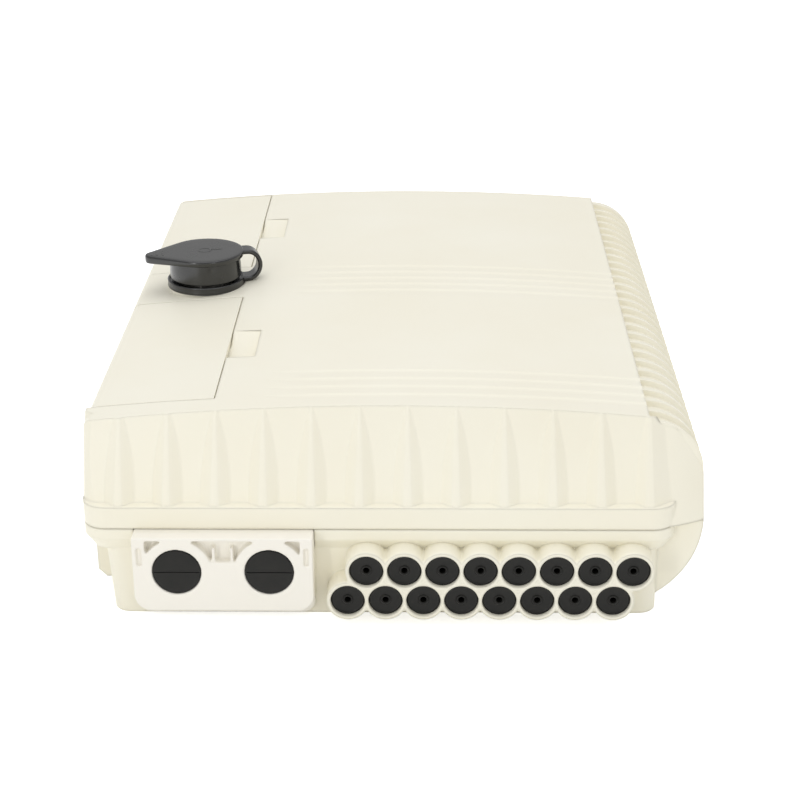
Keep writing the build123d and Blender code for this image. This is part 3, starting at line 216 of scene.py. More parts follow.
@dataclass(frozen=True)
class PlatedMetal:
    """Plated metal: a bright skin with turning or rolling marks and slightly dull patches."""

    name: str
    colour: str
    roughness: float = 0.28
    mark: float = 0.35
    edge: float = 0.2

    def build(self) -> bpy.types.Material:
        """Build the material.

        Returns:
            The finished material.
        """
        material, tree, output = blank_material(self.name)
        place = add_node(tree, "ShaderNodeTexCoord").outputs["Object"]
        stretched = add_node(tree, "ShaderNodeMapping", {"Vector": place, "Scale": (1.0, 0.08, 1.0)})
        marks = add_node(tree, "ShaderNodeTexNoise", {
            "Vector": stretched.outputs["Vector"], "Scale": 1 / (self.mark * MM), "Detail": 2.0})
        dull = add_node(tree, "ShaderNodeMapRange", {
            "Value": marks.outputs["Fac"], "To Min": self.roughness - 0.08, "To Max": self.roughness + 0.12})
        arris = add_node(tree, "ShaderNodeBevel", {"Radius": self.edge * MM}, samples=4)
        skin = add_node(tree, "ShaderNodeBump", {
            "Height": marks.outputs["Fac"], "Strength": 0.2, "Distance": 0.01 * MM,
            "Normal": arris.outputs["Normal"]})
        surface = add_node(tree, "ShaderNodeBsdfPrincipled", {
            "Base Color": linear(self.colour), "Metallic": 1.0,
            "Roughness": dull.outputs["Result"], "Normal": skin.outputs["Normal"]})
        tree.links.new(surface.outputs["BSDF"], output.inputs["Surface"])
        return material


@dataclass(frozen=True)
class ClearSheet:
    """Clear polycarbonate sheet: see-through with a faint tint and fine scuffs in its gloss."""

    name: str
    colour: str
    roughness: float = 0.06

    def build(self) -> bpy.types.Material:
        """Build the material.

        Returns:
            The finished material.
        """
        material, tree, output = blank_material(self.name)
        place = add_node(tree, "ShaderNodeTexCoord").outputs["Object"]
        scuffs = add_node(tree, "ShaderNodeTexNoise", {
            "Vector": place, "Scale": 1 / (4 * MM), "Detail": 5.0, "Roughness": 0.7})
        dull = add_node(tree, "ShaderNodeMapRange", {
            "Value": scuffs.outputs["Fac"], "To Min": self.roughness, "To Max": self.roughness + 0.12})
        surface = add_node(tree, "ShaderNodeBsdfPrincipled", {
            "Base Color": linear(self.colour), "Transmission Weight": 1.0, "IOR": 1.58,
            "Roughness": dull.outputs["Result"]})
        tree.links.new(surface.outputs["BSDF"], output.inputs["Surface"])
        return material


class Finish(Enum):
    """The finishes of the box's pieces."""

    # Injection-moulded ABS, off-white: a warm even tone with a soft satin gleam on its edges.
    SHELL = MouldedPlastic("abs_moulded_offwhite", "F5F1E0", "F3EEDB", edge=1.6)
    # The same resin on forms whose edges are rounded in the mesh.
    ROUNDED = MouldedPlastic("abs_moulded_offwhite_rounded", "F5F1E0", "F3EEDB", edge=0.0)
    # The same resin from another mould, a little whiter and rounder.
    ENTRY = MouldedPlastic("abs_moulded_white", "F6F2E8", "F4F0E5", edge=0.0)
    # Compression-moulded EPDM: black with a green cast, dull, lighter where bloom sits.
    RUBBER = MouldedRubber("epdm_moulded_black", "151512", "1D1C19", roughness=0.4)
    # Soft moulded elastomer of the cap: black and glossier, with bands of light down its side.
    CAP = MouldedRubber("tpe_moulded_black", "151514", "1C1C1B", roughness=0.24, specular=0.7)
    # Extruded foam cord: a mid grey that looks soft and matt.
    GASKET = MouldedRubber("epdm_foam_grey", "4A4B4A", "5A5B59", roughness=0.8)
    # Zinc alloy with nickel plate: warm silver and clear reflections.
    NICKEL = PlatedMetal("zinc_alloy_nickel_plated", "C9C6BE", roughness=0.24)
    # Drawn steel wire with bright zinc: bluish silver with long drawing marks.
    PIN = PlatedMetal("steel_drawn_zinc_plated", "B9BCC0", roughness=0.33)
    # Moulded polyamide, grey: dull and slightly mottled.
    GREY = MouldedPlastic("polyamide_moulded_grey", "8C8F91", "84878A", roughness=0.5)
    # Moulded ABS box of the splitter, black with a light sheen.
    CASSETTE = MouldedPlastic("abs_moulded_black", "26272A", "202124", roughness=0.36)
    # Moulded ABS of the trays, a cooler white than the shell.
    TRAY = MouldedPlastic("abs_moulded_cool_white", "E9EAE8", "E4E5E3", edge=0.25)
    # Clear polycarbonate covers.
    COVER = ClearSheet("polycarbonate_clear", "F2F7F8")
    # Moulded PBT of the adapters, blue and satin.
    ADAPTER = MouldedPlastic("pbt_moulded_blue", "2F62A8", "2A5A9E", roughness=0.4, edge=0.25)

    def material(self) -> bpy.types.Material:
        """Return the finish's material, built at its first use."""
        found = bpy.data.materials.get(self.value.name)
        return found if found else self.value.build()


def dress(piece: bpy.types.Object, finish: Finish) -> None:
    """Give a piece one finish all over.

    Args:
        piece: The piece to dress.
        finish: Its finish.
    """
    if not piece.material_slots:
        piece.data.materials.append(None)
    for slot in piece.material_slots:
        slot.material = finish.material()


def carry(
    piece: bpy.types.Object,
    body: Body,
    finish: Finish,
    nodes: list[str] | None = None,
) -> bpy.types.Object:
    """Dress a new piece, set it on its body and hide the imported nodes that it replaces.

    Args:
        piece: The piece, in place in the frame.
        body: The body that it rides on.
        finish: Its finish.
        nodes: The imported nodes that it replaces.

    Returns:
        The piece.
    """
    dress(piece, finish)
    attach(piece, body.value)
    if nodes:
        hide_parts(*nodes)
    LOG.info("%s on %s, %d faces", piece.name, body.value, len(piece.data.polygons))
    return piece


def object_from(name: str, form: bmesh.types.BMesh, smooth: float = 35.0) -> bpy.types.Object:
    """Make an object from a bmesh, with its normals out and smooth up to an angle.

    Args:
        name: The object's name.
        form: The mesh, which is freed.
        smooth: The largest angle in degrees that stays smooth.

    Returns:
        The object, linked to the scene.
    """
    bmesh.ops.remove_doubles(form, verts=form.verts, dist=0.0005 * MM)
    bmesh.ops.recalc_face_normals(form, faces=form.faces)
    mesh = bpy.data.meshes.new(name)
    form.to_mesh(mesh)
    form.free()
    piece = bpy.data.objects.new(name, mesh)
    bpy.context.scene.collection.objects.link(piece)
    round_shading(mesh, smooth)
    return piece


def round_shading(mesh: bpy.types.Mesh, angle: float) -> None:
    """Shade a mesh smooth, with sharp edges where its faces meet at more than an angle.

    Args:
        mesh: The mesh.
        angle: The angle in degrees.
    """
    mesh.polygons.foreach_set("use_smooth", [True] * len(mesh.polygons))
    mesh.set_sharp_from_angle(angle=math.radians(angle))


def turned(
    profile: list[tuple[float, float]],
    segments: int,
    closed: bool = False,
) -> bmesh.types.BMesh:
    """Turn a profile round the Z axis.

    Args:
        profile: Radius and height of each point, in millimetres.
        segments: Steps round the axis.
        closed: Whether the profile's last point joins its first.

    Returns:
        The closed mesh, in metres.
    """
    form = bmesh.new()
    rings = []
    for radius, height in profile:
        ring = []
        for step in range(segments):
            angle = 2 * math.pi * step / segments
            reach = radius * MM
            ring.append(form.verts.new((reach * math.cos(angle), reach * math.sin(angle), height * MM)))
        rings.append(ring)
    pairs = list(zip(rings, rings[1:] + rings[:1])) if closed else list(zip(rings, rings[1:]))
    for low, high in pairs:
        for step in range(segments):
            after = (step + 1) % segments
            form.faces.new((low[step], low[after], high[after], high[step]))
    bmesh.ops.remove_doubles(form, verts=form.verts, dist=0.0005 * MM)
    return form


def loft(form: bmesh.types.BMesh, sections: list[list[tuple[float, float, float]]]) -> None:
    """Skin closed sections one after another and close both ends.

    Args:
        form: The mesh that gets the faces.
        sections: The points round each section, in millimetres.
    """
    rings = [[form.verts.new(Vector(point) * MM) for point in section] for section in sections]
    for one, two in zip(rings, rings[1:]):
        for index in range(len(one)):
            after = (index + 1) % len(one)
            form.faces.new((one[index], one[after], two[after], two[index]))
    form.faces.new(rings[0])
    form.faces.new(list(reversed(rings[-1])))


def solid_copy(node: str, name: str) -> bpy.types.Object:
    """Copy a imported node's mesh into a new object and close its seams.

    Args:
        node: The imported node.
        name: The new object's name.

    Returns:
        The merged copy.
    """
    form = bmesh.new()
    form.from_mesh(frame["nodes"][node].data)
    bmesh.ops.remove_doubles(form, verts=form.verts, dist=0.001 * MM)
    bmesh.ops.dissolve_limit(form, angle_limit=math.radians(0.3), verts=form.verts, edges=form.edges)
    return object_from(name, form)


def settle(piece: bpy.types.Object) -> bpy.types.Object:
    """Turn a piece's modifiers into its mesh.

    Args:
        piece: The piece with live modifiers.

    Returns:
        The same piece with a plain mesh.
    """
    graph = bpy.context.evaluated_depsgraph_get()
    mesh = bpy.data.meshes.new_from_object(piece.evaluated_get(graph))
    piece.modifiers.clear()
    piece.data = mesh
    mesh.name = piece.name
    return piece


def soften(piece: bpy.types.Object, width: float) -> bpy.types.Object:
    """Round a piece's hard edges with a Bevel modifier.

    Args:
        piece: The piece.
        width: The bevel's width in millimetres.

    Returns:
        The piece with its bevels in its mesh.
    """
    bevel = piece.modifiers.new("arris", "BEVEL")
    bevel.width = width * MM
    bevel.segments = 2
    bevel.limit_method = "ANGLE"
    bevel.angle_limit = math.radians(30)
    bevel.harden_normals = True
    return settle(piece)


def bar(name: str, low: tuple[float, float, float], high: tuple[float, float, float]) -> bpy.types.Object:
    """Make a box between two corners, in millimetres.

    Args:
        name: The object's name.
        low: One corner.
        high: The opposite corner.

    Returns:
        The box.
    """
    form = bmesh.new()
    bmesh.ops.create_cube(form, size=1.0)
    for vert in form.verts:
        vert.co = Vector([low[axis] if vert.co[axis] < 0 else high[axis] for axis in range(3)]) * MM
    return object_from(name, form)


def rod(name: str, centre: tuple[float, float], radius: float, start: float, end: float,
        segments: int = 72) -> bpy.types.Object:
    """Make a round bar along Y, in millimetres.

    Args:
        name: The object's name.
        centre: X and Z of its axis.
        radius: Its radius.
        start: The Y of its front end.
        end: The Y of its rear end.
        segments: Steps round it.

    Returns:
        The bar.
    """
    form = bmesh.new()
    turn = Matrix.Rotation(math.radians(90), 4, "X")
    place = Matrix.Translation(Vector((centre[0], (start + end) / 2, centre[1])) * MM)
    bmesh.ops.create_cone(form, cap_ends=True, segments=segments, radius1=radius * MM, radius2=radius * MM,
                          depth=(end - start) * MM, matrix=place @ turn)
    return object_from(name, form)


def merge(piece: bpy.types.Object, other: bpy.types.Object, operation: str) -> None:
    """Join another solid to a piece or cut it away, and remove the other.

    Args:
        piece: The piece that changes.
        other: The solid, which is removed.
        operation: UNION or DIFFERENCE.
    """
    cut = piece.modifiers.new(operation.lower(), "BOOLEAN")
    cut.operation = operation
    cut.solver = "EXACT"
    cut.object = other
    settle(piece)
    bpy.data.objects.remove(other)


def melt(piece: bpy.types.Object, voxel: float, rounds: int) -> None:
    """Remesh a piece finely and smooth it, so that its edges run together as in a mould.

    Args:
        piece: The piece.
        voxel: The size of the cells in millimetres.
        rounds: How often it is smoothed.
    """
    remesh = piece.modifiers.new("skin", "REMESH")
    remesh.mode = "VOXEL"
    remesh.voxel_size = voxel * MM
    smooth = piece.modifiers.new("melt", "SMOOTH")
    smooth.factor = 0.5
    smooth.iterations = rounds
    settle(piece)
    round_shading(piece.data, 60)


@dataclass
class Rows:
    """A Geometry Nodes tree that repeats a piece in two rows along X."""

    columns: int
    pitch: float
    shift: float
    rise: float

    def tree(self) -> bpy.types.NodeTree:
        """Build the tree.

        Returns:
            The node group with named inputs.
        """
        tree = bpy.data.node_groups.new("two_rows", "GeometryNodeTree")
        for name, kind in (
            ("Piece", "NodeSocketObject"), ("Columns", "NodeSocketInt"), ("Pitch", "NodeSocketFloat"),
            ("Shift", "NodeSocketFloat"), ("Rise", "NodeSocketFloat"), ("Material", "NodeSocketMaterial"),
        ):
            tree.interface.new_socket(name, in_out="INPUT", socket_type=kind)
        tree.interface.new_socket("Geometry", in_out="OUTPUT", socket_type="NodeSocketGeometry")
        given = add_node(tree, "NodeGroupInput").outputs
        step = add_node(tree, "ShaderNodeCombineXYZ", {"X": given["Pitch"]})
        first = add_node(tree, "GeometryNodeMeshLine", {
            "Count": given["Columns"], "Offset": step.outputs["Vector"]}, mode="OFFSET")
        move = add_node(tree, "ShaderNodeCombineXYZ", {"X": given["Shift"], "Z": given["Rise"]})
        second = add_node(tree, "GeometryNodeTransform", {
            "Geometry": first.outputs["Mesh"], "Translation": move.outputs["Vector"]})
        both = add_node(tree, "GeometryNodeJoinGeometry")
        tree.links.new(first.outputs["Mesh"], both.inputs["Geometry"])
        tree.links.new(second.outputs["Geometry"], both.inputs["Geometry"])
        piece = add_node(tree, "GeometryNodeObjectInfo", {"Object": given["Piece"]}, transform_space="ORIGINAL")
        placed = add_node(tree, "GeometryNodeInstanceOnPoints", {
            "Points": both.outputs["Geometry"], "Instance": piece.outputs["Geometry"]})
        real = add_node(tree, "GeometryNodeRealizeInstances", {"Geometry": placed.outputs["Instances"]})
        dressed = add_node(tree, "GeometryNodeSetMaterial", {
            "Geometry": real.outputs["Geometry"], "Material": given["Material"]})
        add_node(tree, "NodeGroupOutput", {"Geometry": dressed.outputs["Geometry"]})
        return tree

    def repeat(self, name: str, piece: bpy.types.Object, place: Vector, finish: Finish) -> bpy.types.Object:
        """Repeat a piece in the two rows.

        Args:
            name: The name of the new object.
            piece: The piece to repeat, at the origin; it is removed.
            place: Where the first row's first piece goes.
            finish: The finish that the tree sets.

        Returns:
            One plain mesh object with all the copies.
        """
        mesh = bpy.data.meshes.new(name)
        rows = bpy.data.objects.new(name, mesh)
        bpy.context.scene.collection.objects.link(rows)
        modifier = rows.modifiers.new("rows", "NODES")
        tree = self.tree()
        modifier.node_group = tree
        values = {
            "Piece": piece, "Columns": self.columns, "Pitch": self.pitch * MM,
            "Shift": self.shift * MM, "Rise": self.rise * MM, "Material": finish.material(),
        }
        for item in tree.interface.items_tree:
            if item.name in values:
                modifier[item.identifier] = values[item.name]
        settle(rows)
        rows.data.transform(Matrix.Translation(place))
        bpy.data.objects.remove(piece)
        return rows


@dataclass
class Studio:
    """The camera at the photograph's angle, the pale floor and the soft lamps."""

    eye: tuple[float, float, float] = (15.49, -771.90, 353.73)
    gaze: tuple[float, float, float] = (-0.01854, 0.91984, -0.39186)
    roll: float = -0.0065
    lens: float = 82.35
    floor_size: float = 30.0
    sky: float = 0.66
    top: float = 12.1
    top_tint: str = "F8F9FF"
    front_left: float = 4.4
    front_right: float = 1.7
    lift: float = 0.6

    def camera(self) -> None:
        """Set the camera where the photograph was taken from."""
        data = bpy.data.cameras.new("photo_camera")
        data.lens = self.lens
        data.sensor_width = 36.0
        data.clip_start = 0.01
        data.clip_end = 100.0
        camera = bpy.data.objects.new("photo_camera", data)
        bpy.context.scene.collection.objects.link(camera)
        gaze = Vector(self.gaze).normalized()
        level = gaze.cross(Vector((0, 0, 1))).normalized()
        upright = level.cross(gaze)
        right = level * math.cos(self.roll) + upright * math.sin(self.roll)
        up = right.cross(gaze)
        turn = Matrix((right, up, -gaze)).transposed().to_4x4()
        camera.matrix_world = Matrix.Translation(Vector(self.eye) * MM) @ turn
        bpy.context.scene.camera = camera

    def floor(self) -> None:
        """Lay a pale floor that keeps the box's shadow and runs out to white."""
        form = bmesh.new()
        bmesh.ops.create_grid(form, x_segments=4, y_segments=4, size=self.floor_size / 2)
        floor = object_from("studio_floor", form)
        material, tree, output = blank_material("studio_floor_matt_white")
        seen = add_node(tree, "ShaderNodeLightPath").outputs
        glossy = add_node(tree, "ShaderNodeMath", {0: seen["Is Camera Ray"], 1: seen["Is Glossy Ray"]},
                          operation="MAXIMUM")
        clear = add_node(tree, "ShaderNodeMath", {0: glossy.outputs["Value"], 1: seen["Is Transmission Ray"]},
                         operation="MAXIMUM")
        lift = add_node(tree, "ShaderNodeMath", {0: clear.outputs["Value"], 1: self.lift},
                        operation="MULTIPLY")
        matt = add_node(tree, "ShaderNodeBsdfDiffuse", {"Color": linear("F4F4F2")})
        glow = add_node(tree, "ShaderNodeEmission", {
            "Color": linear("FFFFFF"), "Strength": lift.outputs["Value"]})
        both = add_node(tree, "ShaderNodeAddShader", {0: matt.outputs["BSDF"], 1: glow.outputs["Emission"]})
        tree.links.new(both.outputs["Shader"], output.inputs["Surface"])
        floor.data.materials.append(material)

    def sky_light(self) -> None:
        """Light the scene from all round, and show white where the camera sees past the floor."""
        world = bpy.data.worlds.new("studio_sky")
        bpy.context.scene.world = world
        world.use_nodes = True
        tree = world.node_tree
        tree.nodes.clear()
        seen = add_node(tree, "ShaderNodeLightPath").outputs
        clear = add_node(tree, "ShaderNodeMath", {0: seen["Is Camera Ray"], 1: seen["Is Transmission Ray"]},
                         operation="MAXIMUM")
        soft = add_node(tree, "ShaderNodeBackground", {"Color": linear("FFFFFF"), "Strength": self.sky})
        white = add_node(tree, "ShaderNodeBackground", {"Color": linear("FFFFFF"), "Strength": 1.0})
        mixed = add_node(tree, "ShaderNodeMixShader", {
            0: clear.outputs["Value"], 1: soft.outputs["Background"], 2: white.outputs["Background"]})
        add_node(tree, "ShaderNodeOutputWorld", {"Surface": mixed.outputs["Shader"]})

    def lamp(self, name: str, place: Vector, width: float, height: float, power: float,
             tint: str = "FFFFFF") -> None:
        """Hang one soft lamp.

        Args:
            name: The lamp's name.
            place: Where it hangs, in metres.
            width: Its width, in metres.
            height: Its height, in metres.
            power: Its power in watts.
            tint: Its colour in sRGB hex.
        """
        data = bpy.data.lights.new(name, "AREA")
        data.color = linear(tint)[:3]
        data.shape = "RECTANGLE"
        data.size = width
        data.size_y = height
        data.energy = power
        lamp = bpy.data.objects.new(name, data)
        bpy.context.scene.collection.objects.link(lamp)
        lamp.location = place
        lamp.rotation_euler = (Vector((0.0, 0.0, 0.05)) - place).to_track_quat("-Z", "Y").to_euler()

    def build(self) -> None:
        """Set the whole studio up."""
        bpy.context.scene.view_settings.view_transform = "Standard"
        self.camera()
        self.floor()
        self.sky_light()
        self.lamp("top_lamp", Vector((0.0, 0.1, 1.7)), 1.8, 1.8, self.top, self.top_tint)
        self.lamp("left_strip", Vector((-0.85, -1.5, 0.5)), 0.2, 1.0, self.front_left)
        self.lamp("right_strip", Vector((0.85, -1.5, 0.5)), 0.2, 1.0, self.front_right)


@dataclass
class Shells:
    """The moulded base, the lid and the two latch flaps."""

    flap_edge: float = 0.5

    def build(self) -> None:
        """Dress the shells and round the flaps' edges."""
        dress(frame["nodes"]["base_shell"], Finish.SHELL)
        dress(frame["nodes"]["lid_shell"], Finish.SHELL)
        for end, body in (("front", Body.LATCH_FRONT), ("rear", Body.LATCH_REAR)):
            flap = soften(solid_copy(f"latch_flap_{end}", f"latch_flap_{end}_skin"), self.flap_edge)
            carry(flap, body, Finish.ROUNDED, [f"latch_flap_{end}"])
        dress(frame["nodes"]["base_gasket"], Finish.GASKET)


@dataclass
class FlankSkin:
    """The lid's ribbed flank with the soft crests and feet that its mould gives it."""

    edge_x: float = 97.0
    centre_z: float = 53.1
    radius: float = 21.5
    first: float = -137.376
    pitch: float = 10.366
    count: int = 27
    proud: float = 0.3
    sunk: float = 3.4
    steps: int = 26
    high_angle: float = 91.0
    low_angle: float = 4.0
    cap_y: float = -153.7
    cap_sweep: float = 8.2
    cap_lean: float = 0.44
    joint_z: float = 37.5

    def stations(self) -> list[tuple[int, float, float]]:
        """Return the rib number, the share of its pitch and the depth at each station along Y."""
        fall = [
            (-0.034, 0.30), (-0.026, 0.12), (0.0, 0.02), (0.05, 0.06), (0.12, 0.24), (0.3, 0.76), (0.55, 1.44),
            (0.78, 2.04), (0.87, 2.3), (0.92, 2.42), (0.945, 2.44), (0.957, 2.2), (0.963, 1.4),
        ]
        found = [(rib, share, depth) for rib in range(self.count) for share, depth in fall]
        return found + [(self.count, -0.034, 0.3), (self.count, -0.026, 0.12), (self.count, 0.03, 0.0),
                        (self.count, 0.06, 0.1), (self.count, 0.07, 0.5)]

    def front(self, x: float, z: float) -> float:
        """Return the front cap's Y at a place on it.

        Args:
            x: The place across, in millimetres.
            z: Its height, in millimetres.
        """
        over = max(x - self.edge_x, 0.0) / self.radius
        sweep = self.cap_sweep * over * (1 / 3 + 2 / 3 * over)
        return self.cap_y + sweep + self.cap_lean * (z - self.joint_z)

    def angle(self, step: int) -> float:
        """Return the angle of a step down the flank, in radians.

        Args:
            step: The step's number, from the panel down.
        """
        return math.radians(self.high_angle - (self.high_angle - self.low_angle) * step / self.steps)

    def ring(self, rib: int, share: float, depth: float) -> list[tuple[float, float, float]]:
        """Return the outer points of one station, from the panel down to the flank's foot.

        Args:
            rib: The rib's number from the front.
            share: How far into its pitch the station lies.
            depth: How deep it lies there, in millimetres.
        """
        points = []
        for step in range(self.steps + 1):
            angle = self.angle(step)
            rise = math.sin(angle)
            ease = min(max((math.degrees(angle) - self.low_angle) / 12.0, 0.0), 1.0)
            out = (self.proud + 0.15) * ease - 0.15 - depth * max(rise, 0.0) ** 1.1
            x = self.edge_x + (self.radius + out) * math.cos(angle)
            z = self.centre_z + (self.radius + out) * rise
            crest = self.first + rib * self.pitch
            if rib == 0:
                crest = self.front(x, z)
            span = self.first + (rib + 1) * self.pitch - crest
            points.append((x, crest + share * span, z))
        return points

    def build(self) -> None:
        """Loft the skin over the ribs and close it inside the wall."""
        reach = self.radius - self.sunk
        sections = []
        for station in self.stations():
            outer = self.ring(*station)
            inner = []
            for step, (_, y, _) in enumerate(outer):
                angle = self.angle(step)
                inner.append((self.edge_x + reach * math.cos(angle), y,
                              self.centre_z + reach * math.sin(angle)))
            sections.append(outer + inner[::-1])
        form = bmesh.new()
        loft(form, sections)
        carry(object_from("lid_flank_skin", form, 60.0), Body.LID, Finish.ROUNDED)


@dataclass
class LapSkins:
    """The soft slopes at the laps across the top panel."""

    left_x: float = -56.0
    full_x: float = -30.0
    right_x: float = 97.0
    crown_top: float = 81.0
    crown_edge: float = 77.0
    step: float = 0.45
    pitch: float = 8.1
    risers: tuple[float, ...] = (-124.5, -116.4, -108.3, -100.2, -5.5, 2.6, 10.7, 18.8, 26.9)
    columns: int = 40

    def crown(self, x: float) -> float:
        """Return the top panel's height at x, in millimetres."""
        rise = self.crown_top - self.crown_edge
        radius = (self.right_x ** 2 + rise ** 2) / (2 * rise)
        return self.crown_top - radius + math.sqrt(radius ** 2 - x ** 2)

    def section(self, riser: float, x: float) -> list[tuple[float, float]]:
        """Return Y and Z round one slope at x.

        Args:
            riser: The Y of the lap's riser.
            x: The place across the panel.
        """
        share = min(max((x - self.left_x) / (self.full_x - self.left_x), 0.0), 1.0)
        top = self.crown(x)
        fall = self.step * share
        outer = [
            (riser + 0.9, top - 0.03), (riser + 0.5, top + 0.03 * share),
            (riser - 0.1, top + 0.02 * share), (riser - 0.6, top - 0.08 * share),
            (riser - 1.1, top - 0.2 * share), (riser - 1.7, top - 0.29 * share),
            (riser - 2.4, top - fall * (1 - 2.4 / self.pitch) + 0.02 * share),
            (riser - 2.9, top - fall * (1 - 2.9 / self.pitch) - 0.03),
        ]
        return outer + [(riser - 2.9, top - 1.0), (riser + 0.9, top - 1.0)]

    def build(self) -> None:
        """Lay one slope over each riser."""
        form = bmesh.new()
        for riser in self.risers:
            sections = []
            for column in range(self.columns + 1):
                x = self.left_x + (self.right_x - 0.02 - self.left_x) * column / self.columns
                sections.append([(x, y, z) for y, z in self.section(riser, x)])
            loft(form, sections)
        carry(object_from("lid_lap_skins", form, 40.0), Body.LID, Finish.ROUNDED)


@dataclass
class CableEntry:
    """The clamp round the two main cables and their slit rubber plugs."""

    voxel: float = 0.42
    rounds: int = 6
    ring_radius: float = 13.4
    band_foot: float = 35.9
    apron_top: float = 27.2
    apron_foot: float = 6.4
    corner: float = 6.5
    cheek: float = 4.9
    recess: float = 4.2
    pitch: float = 35.1
    axis_z: float = 23.1
    bore: float = 9.3
    face_y: float = -162.35
    wall_y: float = -153.5
    slit: float = 0.3

    def clamp(self) -> None:
        """Give the clamp its deep front: a ledge, two rings and an apron round shallow pockets."""
        low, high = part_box("entry_clamp")
        left, right, top = low.x / MM, high.x / MM, high.z / MM
        middle = (left + right) / 2
        face, wall = self.face_y, self.wall_y
        piece = solid_copy("entry_clamp", "entry_clamp_skin")
        bars = [
            ((left, face, self.apron_foot), (right, wall, self.apron_top)),
            ((left, face + self.recess, self.apron_top - 1), (right, wall, top - 0.3)),
            ((left, face + 0.2, self.band_foot), (right, wall, top - 0.1)),
            ((left, face + 0.1, self.apron_top - 1), (left + self.cheek, wall, self.band_foot + 1)),
            ((right - self.cheek, face + 0.1, self.apron_top - 1), (right, wall, self.band_foot + 1)),
        ]
        for side in (-1, 1):
            rib = middle + side * 3.5
            bars.append(((rib - 0.6, face + 1.0, self.apron_top - 1), (rib + 0.6, wall, self.band_foot - 3.0)))
            boss = middle + side * self.pitch / 2
            bars.append(((boss - 4.4, face + 0.6, self.axis_z), (boss + 4.4, wall, self.band_foot + 1)))
        for first, last in bars:
            merge(piece, bar("solid", first, last), "UNION")
        for side in (-1, 1):
            axis = (middle + side * self.pitch / 2, self.axis_z)
            merge(piece, rod("ring", axis, self.ring_radius, face, wall, 96), "UNION")
        for side in (-1, 1):
            axis = (middle + side * self.pitch / 2, self.axis_z)
            merge(piece, rod("bore", axis, self.bore, face - 2, wall + 20, 96), "DIFFERENCE")
            outer = left if side < 0 else right
            slot = outer - side * 2.6
            cut = bar("slot", (slot - 0.9, face - 1, self.apron_top - 1.6),
                      (slot + 0.9, face + 1.6, 33.0))
            merge(piece, cut, "DIFFERENCE")
            inner = outer - side * self.corner
            block = bar("corner", (min(inner, outer + side), face - 1, 0.0),
                        (max(inner, outer + side), wall - 1.0, self.apron_foot + self.corner))
            round_axis = (inner, self.apron_foot + self.corner)
            merge(block, rod("round", round_axis, self.corner, face - 2, wall, 96), "DIFFERENCE")
            merge(piece, block, "DIFFERENCE")
        melt(piece, self.voxel, self.rounds)
        carry(piece, Body.BASE, Finish.ENTRY, ["entry_clamp"])

    def plugs(self) -> None:
        """Turn the two plugs and cut a fine slit across each."""
        for number in (1, 2):
            node = f"main_grommet_{number}"
            low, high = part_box(node)
            r = (high.x - low.x) / 2 / MM
            length = (high.y - low.y) / MM
            profile = [
                (0.0, 0.25), (r * 0.6, 0.12), (r - 0.6, 0.05), (r - 0.25, 0.12), (r, 0.4), (r, length),
                (r - 2.6, length), (r - 2.6, 2.5), (0.0, 2.5),
            ]
            plug = object_from(f"{node}_skin", turned(profile, 72))
            plug.data.transform(Matrix.Rotation(math.radians(-90), 4, "X"))
            x, y, z = (low.x + high.x) / 2 / MM, low.y / MM, (low.z + high.z) / 2 / MM
            plug.data.transform(Matrix.Translation(Vector((x, y, z)) * MM))
            slit = bar("slit", (x - r + 0.6, y - 1, z - self.slit / 2),
                       (x + r - 0.6, y + 3.5, z + self.slit / 2))
            merge(plug, slit, "DIFFERENCE")
            round_shading(plug.data, 35)
            carry(plug, Body.BASE, Finish.RUBBER, [node])

    def build(self) -> None:
        """Build the clamp and its plugs."""
        self.clamp()
        self.plugs()


